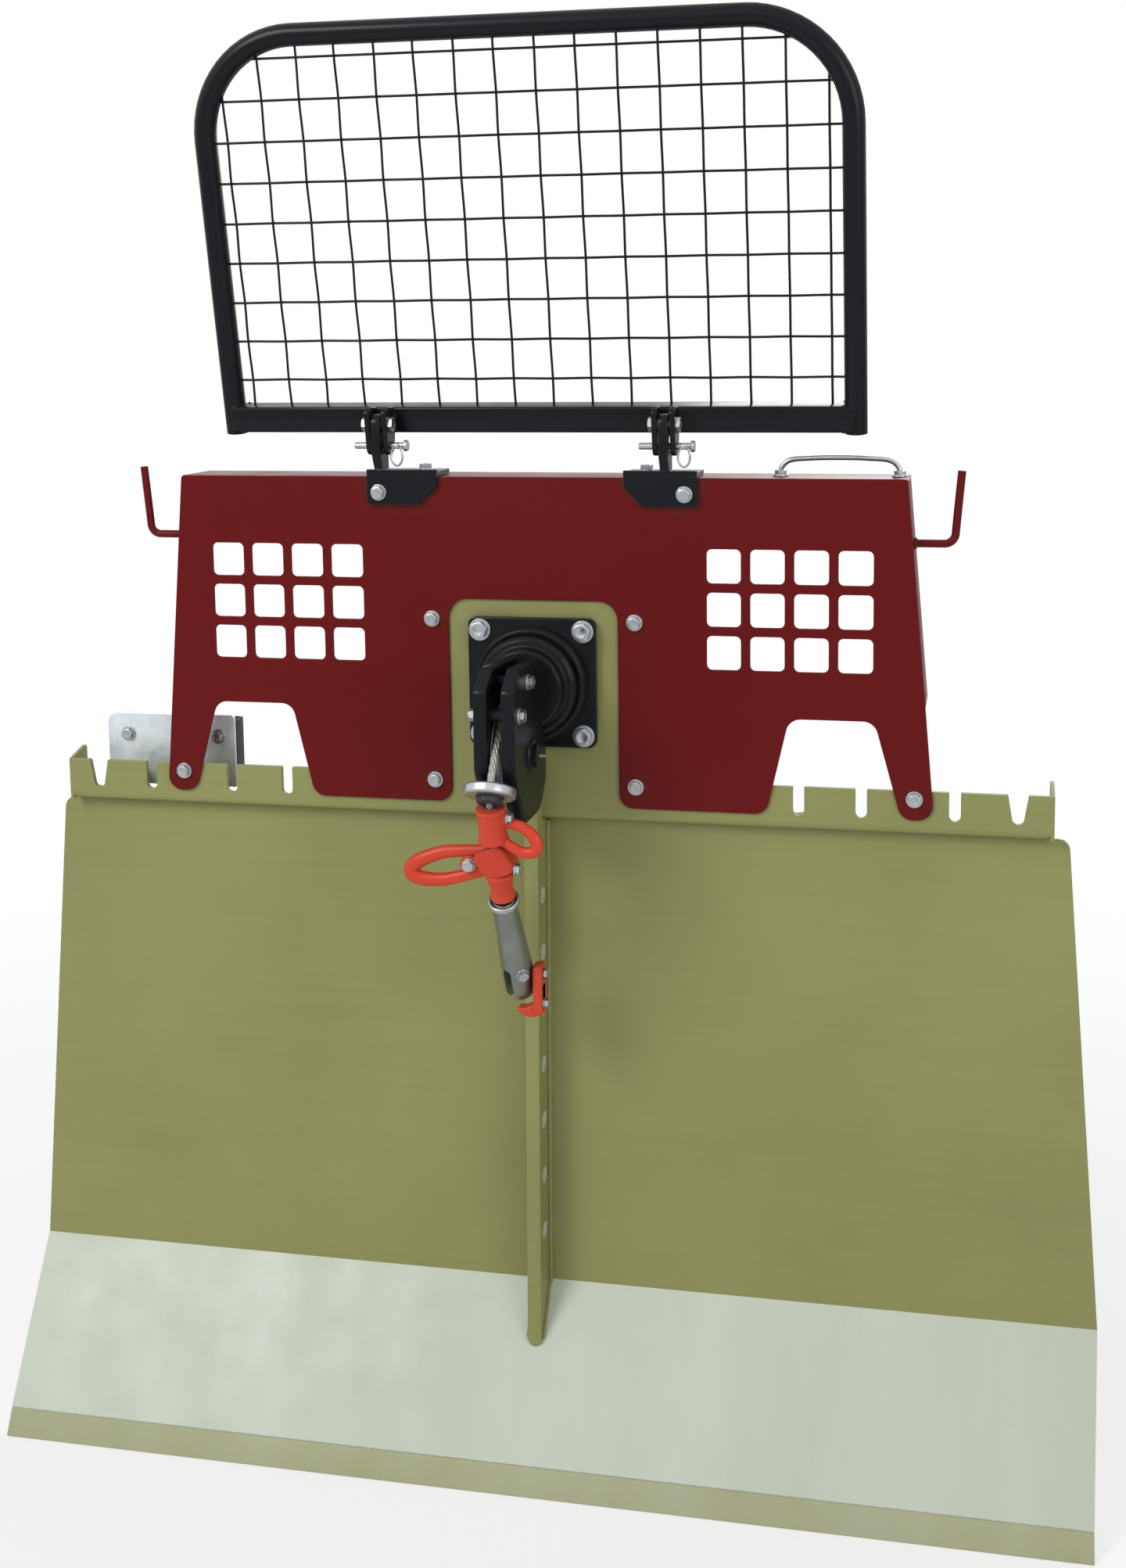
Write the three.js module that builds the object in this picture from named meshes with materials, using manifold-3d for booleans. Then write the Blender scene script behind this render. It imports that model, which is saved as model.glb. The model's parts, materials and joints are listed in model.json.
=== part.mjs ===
// Tractor forestry winch for a three point linkage, standing on its blade.
// Millimetres. X runs along the blade, Y points to the tractor, +Z is up.
// Heights are taken from the ground and depths from the front of the red cover.

import * as THREE from 'three';
import { mergeVertices } from 'three/addons/utils/BufferGeometryUtils.js';
import Module from 'manifold-3d';

const wasm = await Module();
wasm.setup();

// Clearances and overruns
const seat = 0.3;
const running = 0.6;
const overrun = 5;
const bite = 1;

// Blade, lip and cutting edge: half widths, and front face places as depth and height
const lipEndHalf = 844;
const lipSpread = 9;
const bladeInset = 44;
const lipStartHalf = lipEndHalf + lipSpread;
const bladeTopHalf = lipEndHalf - bladeInset;
const bladeTop = { y: 30, z: 999 };
const lipStart = { y: 5, z: 256 };
const lipEnd = { y: -150, z: 39 };
const edgeFootY = -170;
const bladeThickness = 6;
const edgeThickness = 14;

// Hitch bar with its row of holes
const barThickness = 22;
const barDepth = 58;
const barTopZ = 1108;
const barHoleRadius = 10;
const barHoleFirstZ = 885;
const barHolePitch = 89;
const barHoleCount = 7;
const barHoleDepth = 30;

// Red cover
const coverSheet = 4;
const coverTopZ = 1530;
const coverTopHalf = 562;
const coverSpread = 42;
const coverFootHalf = coverTopHalf + coverSpread;
const coverFootZ = 1026;
const coverDepth = 105;
const coverCornerRadius = 10;
const archTopZ = 1172;
const archLegWidth = 48;
const archWidth = 200;
const archTaper = { inner: 34, outer: 40 };
const archFootOuter = coverFootHalf - archLegWidth;
const archFootInner = archFootOuter - archWidth;
const archTopOuter = archFootOuter - archTaper.outer;
const archTopInner = archFootInner + archTaper.inner;
const archRadius = 22;
const windowHalf = 132;
const windowTopZ = 1343;
const windowRadius = 30;
const holeSize = 51;
const holeRadius = 7;
const holePitch = 65;
const holeColumns = 4;
const holeRows = 3;
const holeInset = 269;
const holeInnerX = coverTopHalf - holeInset;
const holeTopZ = 1399;

// Chain rail with the tower that carries the rope head
const railThickness = 8;
const railInset = 23;
const railHalf = bladeTopHalf - railInset;
const railFootZ = 1014;
const railTopZ = 1069;
const railFoldDepth = 34;
const railFoldDrop = 12;
const towerHalf = 178;
const towerTopZ = 1500;
const wingDepth = 50;
const wingThickness = 6;
const wingRise = 24;
const slotPlaces = [404, 497, 634];
const slotWidth = 17;
const slotFootZ = 1025;
const notchInset = 52;
const notchPlace = railHalf - notchInset;
const notchTopWidth = 40;
const notchFootWidth = 14;

// Fasteners
const smallBolt = { shank: 6, head: 9.5, headHeight: 7.5, washer: 12, washerHeight: 2.5 };
const largeBolt = { shank: 9, head: 14, headHeight: 11, washer: 17, washerHeight: 3 };
const coverBoltInset = 29;
const coverBoltPlaces = [[158, 1312], [158, 1060], [coverFootHalf - coverBoltInset, 1058]];

// Rope head: square flange, swivel and pulley
const headZ = 1218;
const flangeHalf = 99;
const flangeThickness = 12;
const flangeRadius = 12;
const flangeBoltPlace = 80;
const ringRadius = 88;
const ringDepth = 20;
const neckRadius = 30;
const ropeBoreRadius = 18;
const hubRadius = 76;
const hubDepth = 16;
const noseRadius = 60;
const noseDepth = 20;
const collarRadius = 42;
const collarDepth = 10;
const pulleyPitchRadius = 84;
const pulleyRimRadius = 90;
const pulleyWidth = 18;
const pulleyAxleRadius = 12;
const headPulleyY = -128;
const cheekThickness = 20;
const cheekGap = 20;
const cheekFrontY = -228;
const cheekTopZ = 1274;
const cheekFootZ = 1042;

// Rope
const ropeRadius = 5.5;
const ropeLeaveAngle = 42;

// Drum, winding and drive
const drumX = 150;
const ropePlaneY = 190;
const ropePitch = 11.6;
const windingLoops = 10;
const windingStepsPerLoop = 18;
const drumCoreRadius = 110;
const drumFlangeRadius = 190;
const drumFlangeThickness = 9;
const brakeRimWidth = 16;
const drumShaftRadius = 20;
const chainPitch = 25.4;
const sprocketTeeth = 48;
const pinionTeeth = 12;
const chainLinks = 56;
const rollerRadius = 7.9;
const sprocketThickness = 12;
const plateThickness = 2.5;
const plateHeight = 20;
const toothRootShare = 0.236;
const toothTipShare = 0.26;
const sprocketRadius = chainPitch / (2 * Math.sin(Math.PI / sprocketTeeth));
const pinionRadius = chainPitch / (2 * Math.sin(Math.PI / pinionTeeth));
const webHoles = 4;
const webHoleShare = 0.16;
const ptoSplineLength = 76;
const ptoGuardInner = 52;
const ptoGuardOuter = 85;
const ptoGuardWall = 4;
const ptoGuardEndY = 378;
const bearingDepth = 18;
const bandThickness = 4;
const bandGap = 14;
const bandSteps = 24;
const brakeLever = { x: -78, y: 52, z: 553, top: 900 };
const clutchLever = { x: 240, y: 252, z: 620, top: 890 };
const leverWidth = 34;
const leverThickness = 10;
const leverPinRadius = 8;
const clutchThickness = 10;
const ptoZ = 300;
const ptoRadius = 17.5;
const ptoSplines = 6;
const ptoSplineDepth = 2.5;
const ptoEndY = 345;

// Welded frame
const sidePlateX = 380;
const sidePlateThickness = 12;
const frameBackY = 262;
const frontPlateThickness = 6;
const rearPlateThickness = 10;
const frontPlateY = 42;
const frontPlateBackY = frontPlateY + frontPlateThickness;
const frontPlateFootZ = 330;
const rearPlateY = 240;
const rearPlateHalf = 95;
const topPlateThickness = 8;
const sideFootZ = 90;
const lowerTubeZ = 180;
const postThickness = 8;
const postTopZ = 1290;
const postBackY = 206;
const standX = -160;
const standSize = 50;
const standWall = 5;
const standSleeveHeight = 180;
const standHeight = 480;
const frameTopZ = 962;
const tubeSize = 60;
const tubeWall = 6;

// Linkage to the tractor
const lowerPinRadius = 14;
const lowerPinLength = 95;
const lowerPinZ = 420;
const lowerPinY = 205;
const topPinRadius = 12.5;
const topPinZ = 1010;
const topPinY = 275;
const topEarGap = 56;
const topEarThickness = 12;
const topEarRadius = 28;

// Guard: bent tube, cross tube and crimped wire net
const guardLean = 10.5;
const guardHalf = 484;
const guardTubeRadius = 17;
const guardCornerRadius = 150;
const guardTopV = 572;
const guardFootV = -24;
const guardFoot = { y: 41, z: 1618 };
const crossTube = 40;
const crossWall = 3;
const wireThickness = 4;
const wireBite = 0.8;
const meshPitch = 60;
const meshColumns = 16;
const meshRows = 9;
const meshFirstV = 60;

// Clevises that hinge the guard on the cover
const pivotReach = 24;
const pivotV = -1;
const pivotRadius = 7;
const clevisHalfPitch = 221;
const clevisShift = -15;
const earThickness = 8;
const tongueThickness = 14;
const tongueClearance = 2.5;
const earMargin = 14;
const lugMargin = 9;
const lockOverhang = 22;
const clipRadius = 15;
const clipWire = 1.8;
const guardBendSteps = 5;
const drainRadius = 5;
const lockDrop = 33;
const lockRadius = 5;
const bracketInner = 144;
const bracketOuter = 255;
const bracketFootZ = 1487;
const bracketTopZ = 1543;
const bracketThickness = 8;
const bracketChamfer = 29;
const bracketDepth = 62;
const bracketBoltX = 236;
const bracketBoltZ = 1506;

// What rides on the hanging rope end: places are depth and height
const rideClearance = 0.65;
const discPlace = [-252, 1111];
const discLean = 28;
const discRadius = 37;
const discThickness = 13;
const upperSlider = {
  axis: [[-251, 1088], [-237, 1037]], topRadius: 21, footRadius: 17.5,
  y: -243, z: 1060, root: 15, reach: 70, rise: 19, wire: 6.5,
};
const lowerSlider = {
  axis: [[-212, 986], [-192, 942]], topRadius: 24, footRadius: 18,
  y: -212, z: 996, root: 18, reach: 126, rise: 27, wire: 8,
};
const hook = {
  foot: [-96, 766], collar: 24, collarDepth: 12, topRadius: 20, footRadius: 25,
  slotHalf: 7, slotLength: 22,
};
const hookSlotShare = 0.62;
const latch = { half: 16, drop: 34, thickness: 14, hole: 6 };

const X = new THREE.Vector3(1, 0, 0);
const Y = new THREE.Vector3(0, 1, 0);
const Z = new THREE.Vector3(0, 0, 1);
const radians = THREE.MathUtils.degToRad;

// Solids in and out of the boolean library
function closed(geometry) {
  const plain = geometry.index ? geometry.toNonIndexed() : geometry.clone();
  plain.deleteAttribute('normal');
  plain.deleteAttribute('uv');
  return mergeVertices(plain, 1e-4);
}

function toSolid(geometry) {
  const merged = closed(geometry);
  const mesh = new wasm.Mesh({
    numProp: 3,
    vertProperties: new Float32Array(merged.attributes.position.array),
    triVerts: new Uint32Array(merged.index.array),
  });
  return new wasm.Manifold(mesh);
}

function fromSolid(solid) {
  const mesh = solid.getMesh();
  const geometry = new THREE.BufferGeometry();
  const stride = mesh.numProp;
  const points = new Float32Array((mesh.vertProperties.length / stride) * 3);
  for (let i = 0; i < points.length / 3; i += 1) {
    points.set(mesh.vertProperties.subarray(i * stride, i * stride + 3), i * 3);
  }
  geometry.setAttribute('position', new THREE.BufferAttribute(points, 3));
  geometry.setIndex(new THREE.BufferAttribute(new Uint32Array(mesh.triVerts), 1));
  return geometry;
}

function join(...geometries) {
  return fromSolid(geometries.map(toSolid).reduce((a, b) => a.add(b)));
}

function cut(body, ...tools) {
  return fromSolid(tools.map(toSolid).reduce((a, b) => a.subtract(b), toSolid(body)));
}

// Basic forms
function block(x0, x1, y0, y1, z0, z1) {
  const geometry = new THREE.BoxGeometry(x1 - x0, y1 - y0, z1 - z0);
  return geometry.translate((x0 + x1) / 2, (y0 + y1) / 2, (z0 + z1) / 2);
}

function rod(radius, from, to, sides = 12, endRadius = radius) {
  const axis = new THREE.Vector3().subVectors(to, from);
  const geometry = new THREE.CylinderGeometry(endRadius, radius, axis.length(), sides);
  const turn = new THREE.Quaternion().setFromUnitVectors(Y, axis.clone().normalize());
  geometry.applyQuaternion(turn);
  return geometry.translate(...new THREE.Vector3().addVectors(from, to).divideScalar(2));
}

function at(x, y, z) {
  return new THREE.Vector3(x, y, z);
}

// A corner is [u, v] or [u, v, fillet radius]
function rounded(corners) {
  const shape = new THREE.Shape();
  const points = corners.map(([u, v]) => new THREE.Vector2(u, v));
  corners.forEach(([, , radius = 0], i) => {
    const here = points[i];
    const back = points.at(i - 1).clone().sub(here);
    const on = points[(i + 1) % points.length].clone().sub(here);
    const half = back.angleTo(on) / 2;
    const reach = Math.min(radius / Math.tan(half), back.length() / 2, on.length() / 2);
    const start = here.clone().addScaledVector(back.normalize(), reach);
    const end = here.clone().addScaledVector(on.normalize(), reach);
    if (i === 0) shape.moveTo(start.x, start.y);
    else shape.lineTo(start.x, start.y);
    if (reach > 0) shape.quadraticCurveTo(here.x, here.y, end.x, end.y);
  });
  return shape;
}

// A round hole whose flats lie outside its radius
function disc(u, v, radius, sides = 16) {
  const around = radius / Math.cos(Math.PI / sides);
  return new THREE.Path(Array.from({ length: sides }, (_, i) => {
    const angle = (i / sides) * Math.PI * 2;
    return new THREE.Vector2(u + around * Math.cos(angle), v + around * Math.sin(angle));
  }));
}

function extrude(shape, depth, curveSegments) {
  return new THREE.ExtrudeGeometry(shape, { depth, bevelEnabled: false, curveSegments });
}

// A sheet drawn in X and Z, with its front face at a depth and its thickness behind
function frontSheet(shape, frontY, thickness, curveSegments = 3) {
  const geometry = extrude(shape, thickness, curveSegments);
  geometry.applyMatrix4(new THREE.Matrix4().makeBasis(X, Z, Y.clone().negate()));
  return geometry.translate(0, frontY + thickness, 0);
}

// A sheet drawn in Y and Z, running in X
function sideSheet(shape, fromX, toX, curveSegments = 3) {
  const geometry = extrude(shape, toX - fromX, curveSegments);
  geometry.applyMatrix4(new THREE.Matrix4().makeBasis(Y, Z, X));
  return geometry.translate(fromX, 0, 0);
}

// A sheet whose front face leans from a foot to a head, drawn in X and the way up it
function leaningSheet(corners, foot, head, thickness) {
  const up = at(0, head.y - foot.y, head.z - foot.z).normalize();
  const front = new THREE.Vector3().crossVectors(X, up);
  const geometry = extrude(rounded(corners), thickness, 4);
  geometry.applyMatrix4(new THREE.Matrix4().makeBasis(X, up, front));
  const back = front.clone().multiplyScalar(-thickness);
  return geometry.translate(back.x, foot.y + back.y, foot.z + back.z);
}

// A turned form about a line along Y or X, from [radius, place] pairs
function turnedY(profile, x, z, sides) {
  const points = profile.map(([r, y]) => new THREE.Vector2(r, y));
  return new THREE.LatheGeometry(points, sides).translate(x, 0, z);
}

function turnedX(profile, y, z, sides) {
  const points = profile.map(([r, x]) => new THREE.Vector2(r, x));
  const geometry = new THREE.LatheGeometry(points, sides).rotateZ(-Math.PI / 2);
  return geometry.translate(0, y, z);
}

function ring(inner, outer, from, to) {
  return [[inner, from], [outer, from], [outer, to], [inner, to], [inner, from]];
}

// A closed tube with a ring of points at each place of its route
function pipe(route, radius, sides, firstGuide = null) {
  const positions = [];
  const faces = [];
  let normal = null;
  route.forEach((place, i) => {
    const ahead = route[Math.min(i + 1, route.length - 1)];
    const behind = route[Math.max(i - 1, 0)];
    const along = new THREE.Vector3().subVectors(ahead, behind).normalize();
    const guide = firstGuide ?? (Math.abs(along.x) < 0.9 ? X : Z);
    normal = (normal ?? guide.clone()).addScaledVector(along, -along.dot(normal ?? guide)).normalize();
    const side = new THREE.Vector3().crossVectors(along, normal);
    for (let k = 0; k < sides; k += 1) {
      const angle = ((k + 0.5) / sides) * Math.PI * 2;
      const point = place.clone().addScaledVector(normal, radius * Math.cos(angle));
      positions.push(point.addScaledVector(side, radius * Math.sin(angle)));
      if (i > 0) {
        const here = i * sides + k;
        const next = i * sides + ((k + 1) % sides);
        faces.push(here, next - sides, next, here, here - sides, next - sides);
      }
    }
  });
  const last = (route.length - 1) * sides;
  for (let k = 1; k < sides - 1; k += 1) faces.push(0, k + 1, k, last, last + k, last + k + 1);
  const geometry = new THREE.BufferGeometry().setFromPoints(positions);
  geometry.setIndex(faces);
  return geometry;
}

function smooth(points, count) {
  return new THREE.CatmullRomCurve3(points).getSpacedPoints(count);
}

// A ring section turned about a line, from [radius, distance along the line] pairs
function turnedAlong(profile, from, direction, sides) {
  const points = profile.map(([r, t]) => new THREE.Vector2(r, t));
  const geometry = new THREE.LatheGeometry(points, sides);
  geometry.applyQuaternion(new THREE.Quaternion().setFromUnitVectors(Y, direction.clone().normalize()));
  return geometry.translate(from.x, from.y, from.z);
}

// A hexagon bolt with its washer, seated on a face and pointing along a direction
function bolt(size, place, direction, grip) {
  const out = direction.clone().negate();
  const step = (distance) => place.clone().addScaledVector(out, distance);
  const washer = rod(size.washer, step(0), step(size.washerHeight), 10);
  const headFoot = size.washerHeight;
  const head = rod(size.head, step(headFoot), step(headFoot + size.headHeight), 6);
  const shank = rod(size.shank, step(headFoot), step(-grip), 6);
  return join(washer, head, shank);
}

function boltHole(size, place, depth) {
  const clear = (size.shank + running) / Math.cos(Math.PI / 6);
  return rod(clear, place.clone().addScaledVector(Y, -overrun), place.clone().addScaledVector(Y, depth), 6);
}

const mirrorX = [-1, 1];

// Materials
const paint = (color, roughness = 0.45) => new THREE.MeshStandardMaterial({ color, roughness, metalness: 0.1 });
const metal = (color, roughness = 0.35) => new THREE.MeshStandardMaterial({ color, roughness, metalness: 0.85 });
const olive = paint(0x878a55);
const paleOlive = paint(0xc4c7b0, 0.6);
const edgePaint = paint(0xaba67a, 0.6);
const red = paint(0x6e1016, 0.4);
const orangeRed = paint(0xc93a26, 0.4);
const black = paint(0x16181b, 0.4);
const zinc = metal(0xb9bdc2);
const steel = metal(0x7d8084, 0.45);
const wireRope = metal(0xa9adb0, 0.4);
const grayIron = metal(0x8d9089, 0.5);
const plastic = paint(0x1c1c1e, 0.6);

const part = new THREE.Group();
const head = new THREE.Group();
part.add(head);

// The origin lies on the ground, halfway between the pulley cheeks and the drive shaft guard
part.position.y = -(cheekFrontY + ptoGuardEndY) / 2;

function add(name, geometry, material, parent = part) {
  const mesh = new THREE.Mesh(closed(geometry), material);
  mesh.name = name;
  parent.add(mesh);
  return mesh;
}

// Lines of the blade front, used by everything that stands on it
const bladeSlope = (bladeTop.y - lipStart.y) / (bladeTop.z - lipStart.z);
const lipSlope = (lipStart.y - lipEnd.y) / (lipStart.z - lipEnd.z);
const bladeFrontAt = (z) => lipStart.y + (z - lipStart.z) * bladeSlope;
const bladeBackOffset = bladeThickness * Math.hypot(1, bladeSlope);
const lipBackOffset = bladeThickness * Math.hypot(1, lipSlope);
const lipFrontAt = (z) => lipStart.y + (z - lipStart.z) * lipSlope;

function makeBlade() {
  const bladeLength = Math.hypot(bladeTop.y - lipStart.y, bladeTop.z - lipStart.z);
  const lipLength = Math.hypot(lipStart.y - lipEnd.y, lipStart.z - lipEnd.z);
  const cornerRadius = guardTubeRadius;
  add('blade_plate', leaningSheet([
    [-lipStartHalf, seat], [lipStartHalf, seat],
    [bladeTopHalf, bladeLength, cornerRadius], [-bladeTopHalf, bladeLength, cornerRadius],
  ], lipStart, bladeTop, bladeThickness), olive);
  add('blade_lip', leaningSheet([
    [-lipEndHalf, 0], [lipEndHalf, 0], [lipStartHalf, lipLength], [-lipStartHalf, lipLength],
  ], lipEnd, lipStart, bladeThickness), paleOlive);
  const along = at(0, lipEnd.y - lipStart.y, lipEnd.z - lipStart.z).normalize();
  const backY = lipEnd.y + along.y * seat - along.z * edgeThickness;
  const backZ = lipEnd.z + along.z * seat + along.y * edgeThickness;
  const edge = rounded([
    [lipEnd.y + along.y * seat, lipEnd.z + along.z * seat],
    [edgeFootY, 0], [edgeFootY + edgeThickness * 2, 0], [backY, backZ],
  ]);
  add('cutting_edge', sideSheet(edge, -lipEndHalf, lipEndHalf), edgePaint);
}

function makeHitchBar() {
  const gap = (y) => y - seat;
  const frontAt = (z) => bladeFrontAt(z) - barDepth;
  const lipFace = (z) => lipFrontAt(z) - seat * Math.hypot(1, lipSlope);
  const footZ = (frontAt(0) - lipFrontAt(0) + seat * Math.hypot(1, lipSlope)) / (lipSlope - bladeSlope);
  const railFront = gap(coverSheet + seat);
  const ledgeZ = railFootZ - railFoldDrop;
  const outline = rounded([
    [frontAt(barTopZ), barTopZ, barThickness / 2],
    [frontAt(footZ), footZ],
    [lipFace(lipStart.z) , lipStart.z],
    [gap(bladeFrontAt(ledgeZ - seat)), ledgeZ - seat],
    [gap(coverSheet + seat), ledgeZ - seat],
    [railFront, barTopZ],
  ]);
  const bar = sideSheet(outline, -barThickness / 2, barThickness / 2);
  const holes = Array.from({ length: barHoleCount }, (_, i) => {
    const z = barHoleFirstZ - i * barHolePitch;
    const y = bladeFrontAt(z) - barHoleDepth;
    return rod(barHoleRadius, at(-barThickness, y, z), at(barThickness, y, z), 10);
  });
  add('hitch_bar', cut(bar, ...holes), olive);
}

// Rail and tower are one plate, folded back along the foot and at both ends
const railFrontY = coverSheet + seat;
const railBackY = railFrontY + railThickness;

function makeRail() {
  const half = slotWidth / 2;
  const slot = (x) => [
    [x - half, railTopZ], [x - half, slotFootZ, half], [x + half, slotFootZ, half], [x + half, railTopZ],
  ];
  const notch = (x) => [
    [x - notchTopWidth / 2, railTopZ], [x - notchFootWidth / 2, slotFootZ, half],
    [x + notchFootWidth / 2, slotFootZ, half], [x + notchTopWidth / 2, railTopZ],
  ];
  const right = [...slotPlaces.flatMap(slot), ...notch(notchPlace)];
  const left = right.map(([x, z, r = 0]) => [-x, z, r]).reverse();
  const outline = rounded([
    [-railHalf, railTopZ], ...left, [-towerHalf, railTopZ], [-towerHalf, towerTopZ, windowRadius],
    [towerHalf, towerTopZ, windowRadius], [towerHalf, railTopZ], ...right, [railHalf, railTopZ],
    [railHalf, railFootZ], [-railHalf, railFootZ],
  ]);
  outline.holes.push(disc(0, headZ, neckRadius + running));
  const face = frontSheet(outline, railFrontY, railThickness, 2);
  const bend = railFoldDrop;
  const fold = sideSheet(rounded([
    [railFrontY, railFootZ + overrun], [railFrontY, railFootZ], [railFrontY + bend, railFootZ - bend],
    [railFrontY + railFoldDepth, railFootZ - bend], [railFrontY + railFoldDepth, railFootZ - bend + wingThickness],
    [railBackY + bend / 2, railFootZ - bend + wingThickness], [railBackY, railFootZ], [railBackY, railFootZ + overrun],
  ]), -railHalf, railHalf);
  const wing = rounded([
    [railFrontY, railFootZ], [railFrontY + wingDepth, railFootZ],
    [railFrontY + wingDepth, railTopZ + wingRise, wingThickness],
    [railFrontY + wingDepth * 0.7, railTopZ + wingRise / 2], [railFrontY, railTopZ],
  ]);
  const wings = [
    sideSheet(wing, -railHalf, -railHalf + wingThickness),
    sideSheet(wing, railHalf - wingThickness, railHalf),
  ];
  const tabs = holderTabPlaces.map((x) => block(
    x - holderTabWidth / 2, x + holderTabWidth / 2, railBackY - wingThickness, holderFrontY - seat,
    railFootZ, railFootZ + holderTabHeight,
  ));
  const flangeHoles = mirrorX.flatMap((sx) => mirrorX.map((sz) => boltHole(
    largeBolt, at(sx * flangeBoltPlace, railFrontY, headZ + sz * flangeBoltPlace), railThickness * 2,
  )));
  const coverHoles = mirrorX.flatMap((sx) => coverBoltPlaces.map(([x, z]) => boltHole(
    smallBolt, at(sx * x, railFrontY, z), railThickness * 2,
  )));
  add('chain_rail', cut(join(face, fold, ...wings, ...tabs), ...flangeHoles, ...coverHoles), olive);
}

function makeCover() {
  const half = [
    [windowHalf, windowTopZ, windowRadius], [windowHalf, coverFootZ, archRadius],
    [archFootInner, coverFootZ, archRadius], [archTopInner, archTopZ, archRadius],
    [archTopOuter, archTopZ, archRadius], [archFootOuter, coverFootZ, archRadius],
    [coverFootHalf, coverFootZ, archRadius], [coverTopHalf, coverTopZ, coverCornerRadius],
  ];
  const other = half.map(([x, z, r]) => [-x, z, r]).reverse();
  const outline = rounded([...half, ...other]);
  const reach = (holeColumns - 1) * holePitch;
  const s = holeSize / 2;
  for (const firstX of [holeInnerX, -holeInnerX - reach]) {
    for (let column = 0; column < holeColumns; column += 1) {
      for (let row = 0; row < holeRows; row += 1) {
        const x = firstX + column * holePitch;
        const z = holeTopZ - row * holePitch;
        outline.holes.push(rounded([
          [x - s, z - s, holeRadius], [x + s, z - s, holeRadius],
          [x + s, z + s, holeRadius], [x - s, z + s, holeRadius],
        ]));
      }
    }
  }
  const front = frontSheet(outline, 0, coverSheet, 1);
  const top = block(-coverTopHalf, coverTopHalf, 0, coverDepth, coverTopZ - coverSheet, coverTopZ);
  const flare = (coverFootHalf - coverTopHalf) / (coverTopZ - coverFootZ);
  const sideFootZ = archTopZ + archRadius;
  const sideX = (z) => coverTopHalf + (coverTopZ - z) * flare;
  const sides = mirrorX.map((sign) => frontSheet(rounded([
    [sign * sideX(sideFootZ), sideFootZ], [sign * (sideX(sideFootZ) - coverSheet), sideFootZ],
    [sign * (coverTopHalf - coverSheet), coverTopZ - coverSheet / 2],
    [sign * coverTopHalf, coverTopZ - coverSheet / 2],
  ]), 0, coverDepth));
  const holes = mirrorX.flatMap((sx) => [
    ...coverBoltPlaces.map(([x, z]) => boltHole(smallBolt, at(sx * x, 0, z), coverSheet + running / 2)),
    boltHole(smallBolt, at(sx * bracketBoltX, 0, bracketBoltZ), coverSheet * 2),
  ]);
  add('top_cover', cut(join(front, top, ...sides), ...holes), red);
}

// Bent round hooks on both sides of the cover
const sideHook = { radius: 6, y: 30, rootZ: 1434, reach: 68, lean: 8, top: 1541, bend: 16 };

function makeSideHooks() {
  const flare = (coverFootHalf - coverTopHalf) / (coverTopZ - coverFootZ);
  const rootX = coverTopHalf + (coverTopZ - sideHook.rootZ) * flare + running;
  const outX = coverTopHalf + sideHook.reach;
  for (const [name, sign] of [['side_hook_left', -1], ['side_hook_right', 1]]) {
    const place = (x, z) => at(sign * x, sideHook.y, z);
    const bendStart = place(outX - sideHook.bend, sideHook.rootZ);
    const bendEnd = place(outX, sideHook.rootZ + sideHook.bend);
    const bend = new THREE.QuadraticBezierCurve3(bendStart, place(outX, sideHook.rootZ), bendEnd);
    const top = place(outX + sideHook.lean, sideHook.top);
    add(name, pipe([place(rootX, sideHook.rootZ), ...bend.getPoints(4), top], sideHook.radius, 8), red);
  }
}

// Small bow handle on top of the cover
const bowInset = 14;
const bowSpan = 176;
const bow = {
  fromX: coverTopHalf - bowInset - bowSpan, toX: coverTopHalf - bowInset, y: 52, rise: 22, radius: 4,
  foot: 12, footHeight: 9,
};

function makeBowHandle() {
  const foot = (x) => rod(bow.foot, at(x, bow.y, coverTopZ + seat), at(x, bow.y, coverTopZ + seat + bow.footHeight), 6);
  const base = coverTopZ + seat + bow.footHeight / 2;
  const path = [
    at(bow.fromX, bow.y, base), at(bow.fromX + bow.foot, bow.y, base + bow.rise * 0.8),
    at(bow.fromX + bow.rise * 2, bow.y, base + bow.rise), at(bow.toX - bow.rise * 2, bow.y, base + bow.rise),
    at(bow.toX - bow.foot, bow.y, base + bow.rise * 0.8), at(bow.toX, bow.y, base),
  ];
  add('bow_handle', join(foot(bow.fromX), foot(bow.toX), pipe(smooth(path, 10), bow.radius, 6)), zinc);
}

// Chain saw holder behind the left end of the rail
const holderInset = 42;
const holderWidth = 221;
const holderFromX = holderInset - railHalf;
const holderToX = holderFromX + holderWidth;
const holderFootZ = 1018;
const holderTopZ = 1136;
const holderFrontY = 60;
const holderSheet = 5;
const pocketDepth = 34;
const pocketWall = 5;
const holderTabInset = 45;
const holderTabPlaces = [holderFromX + holderTabInset, holderToX - holderTabInset];
const holderTabWidth = 40;
const holderTabHeight = 36;
const holderBoltZ = 1101;
const holderBoltInset = 18;

function makeSawHolder() {
  const corner = holderBoltInset;
  add('saw_holder_plate', cut(frontSheet(rounded([
    [holderFromX, holderFootZ], [holderToX, holderFootZ], [holderToX, holderTopZ, corner / 3],
    [holderFromX, holderTopZ, corner],
  ]), holderFrontY, holderSheet), ...holderBoltHoles()), zinc);
  const y0 = holderFrontY + holderSheet + seat;
  const x0 = holderFromX + corner;
  const outer = block(x0, holderToX, y0, y0 + pocketDepth, holderFootZ, holderTopZ - corner / 2);
  const inner = block(
    x0 + pocketWall, holderToX - pocketWall, y0 + pocketWall, y0 + pocketDepth - pocketWall,
    holderFootZ - overrun, holderTopZ + overrun,
  );
  add('saw_holder_pocket', cut(outer, inner, ...holderBoltHoles()), plastic);
}

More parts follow.
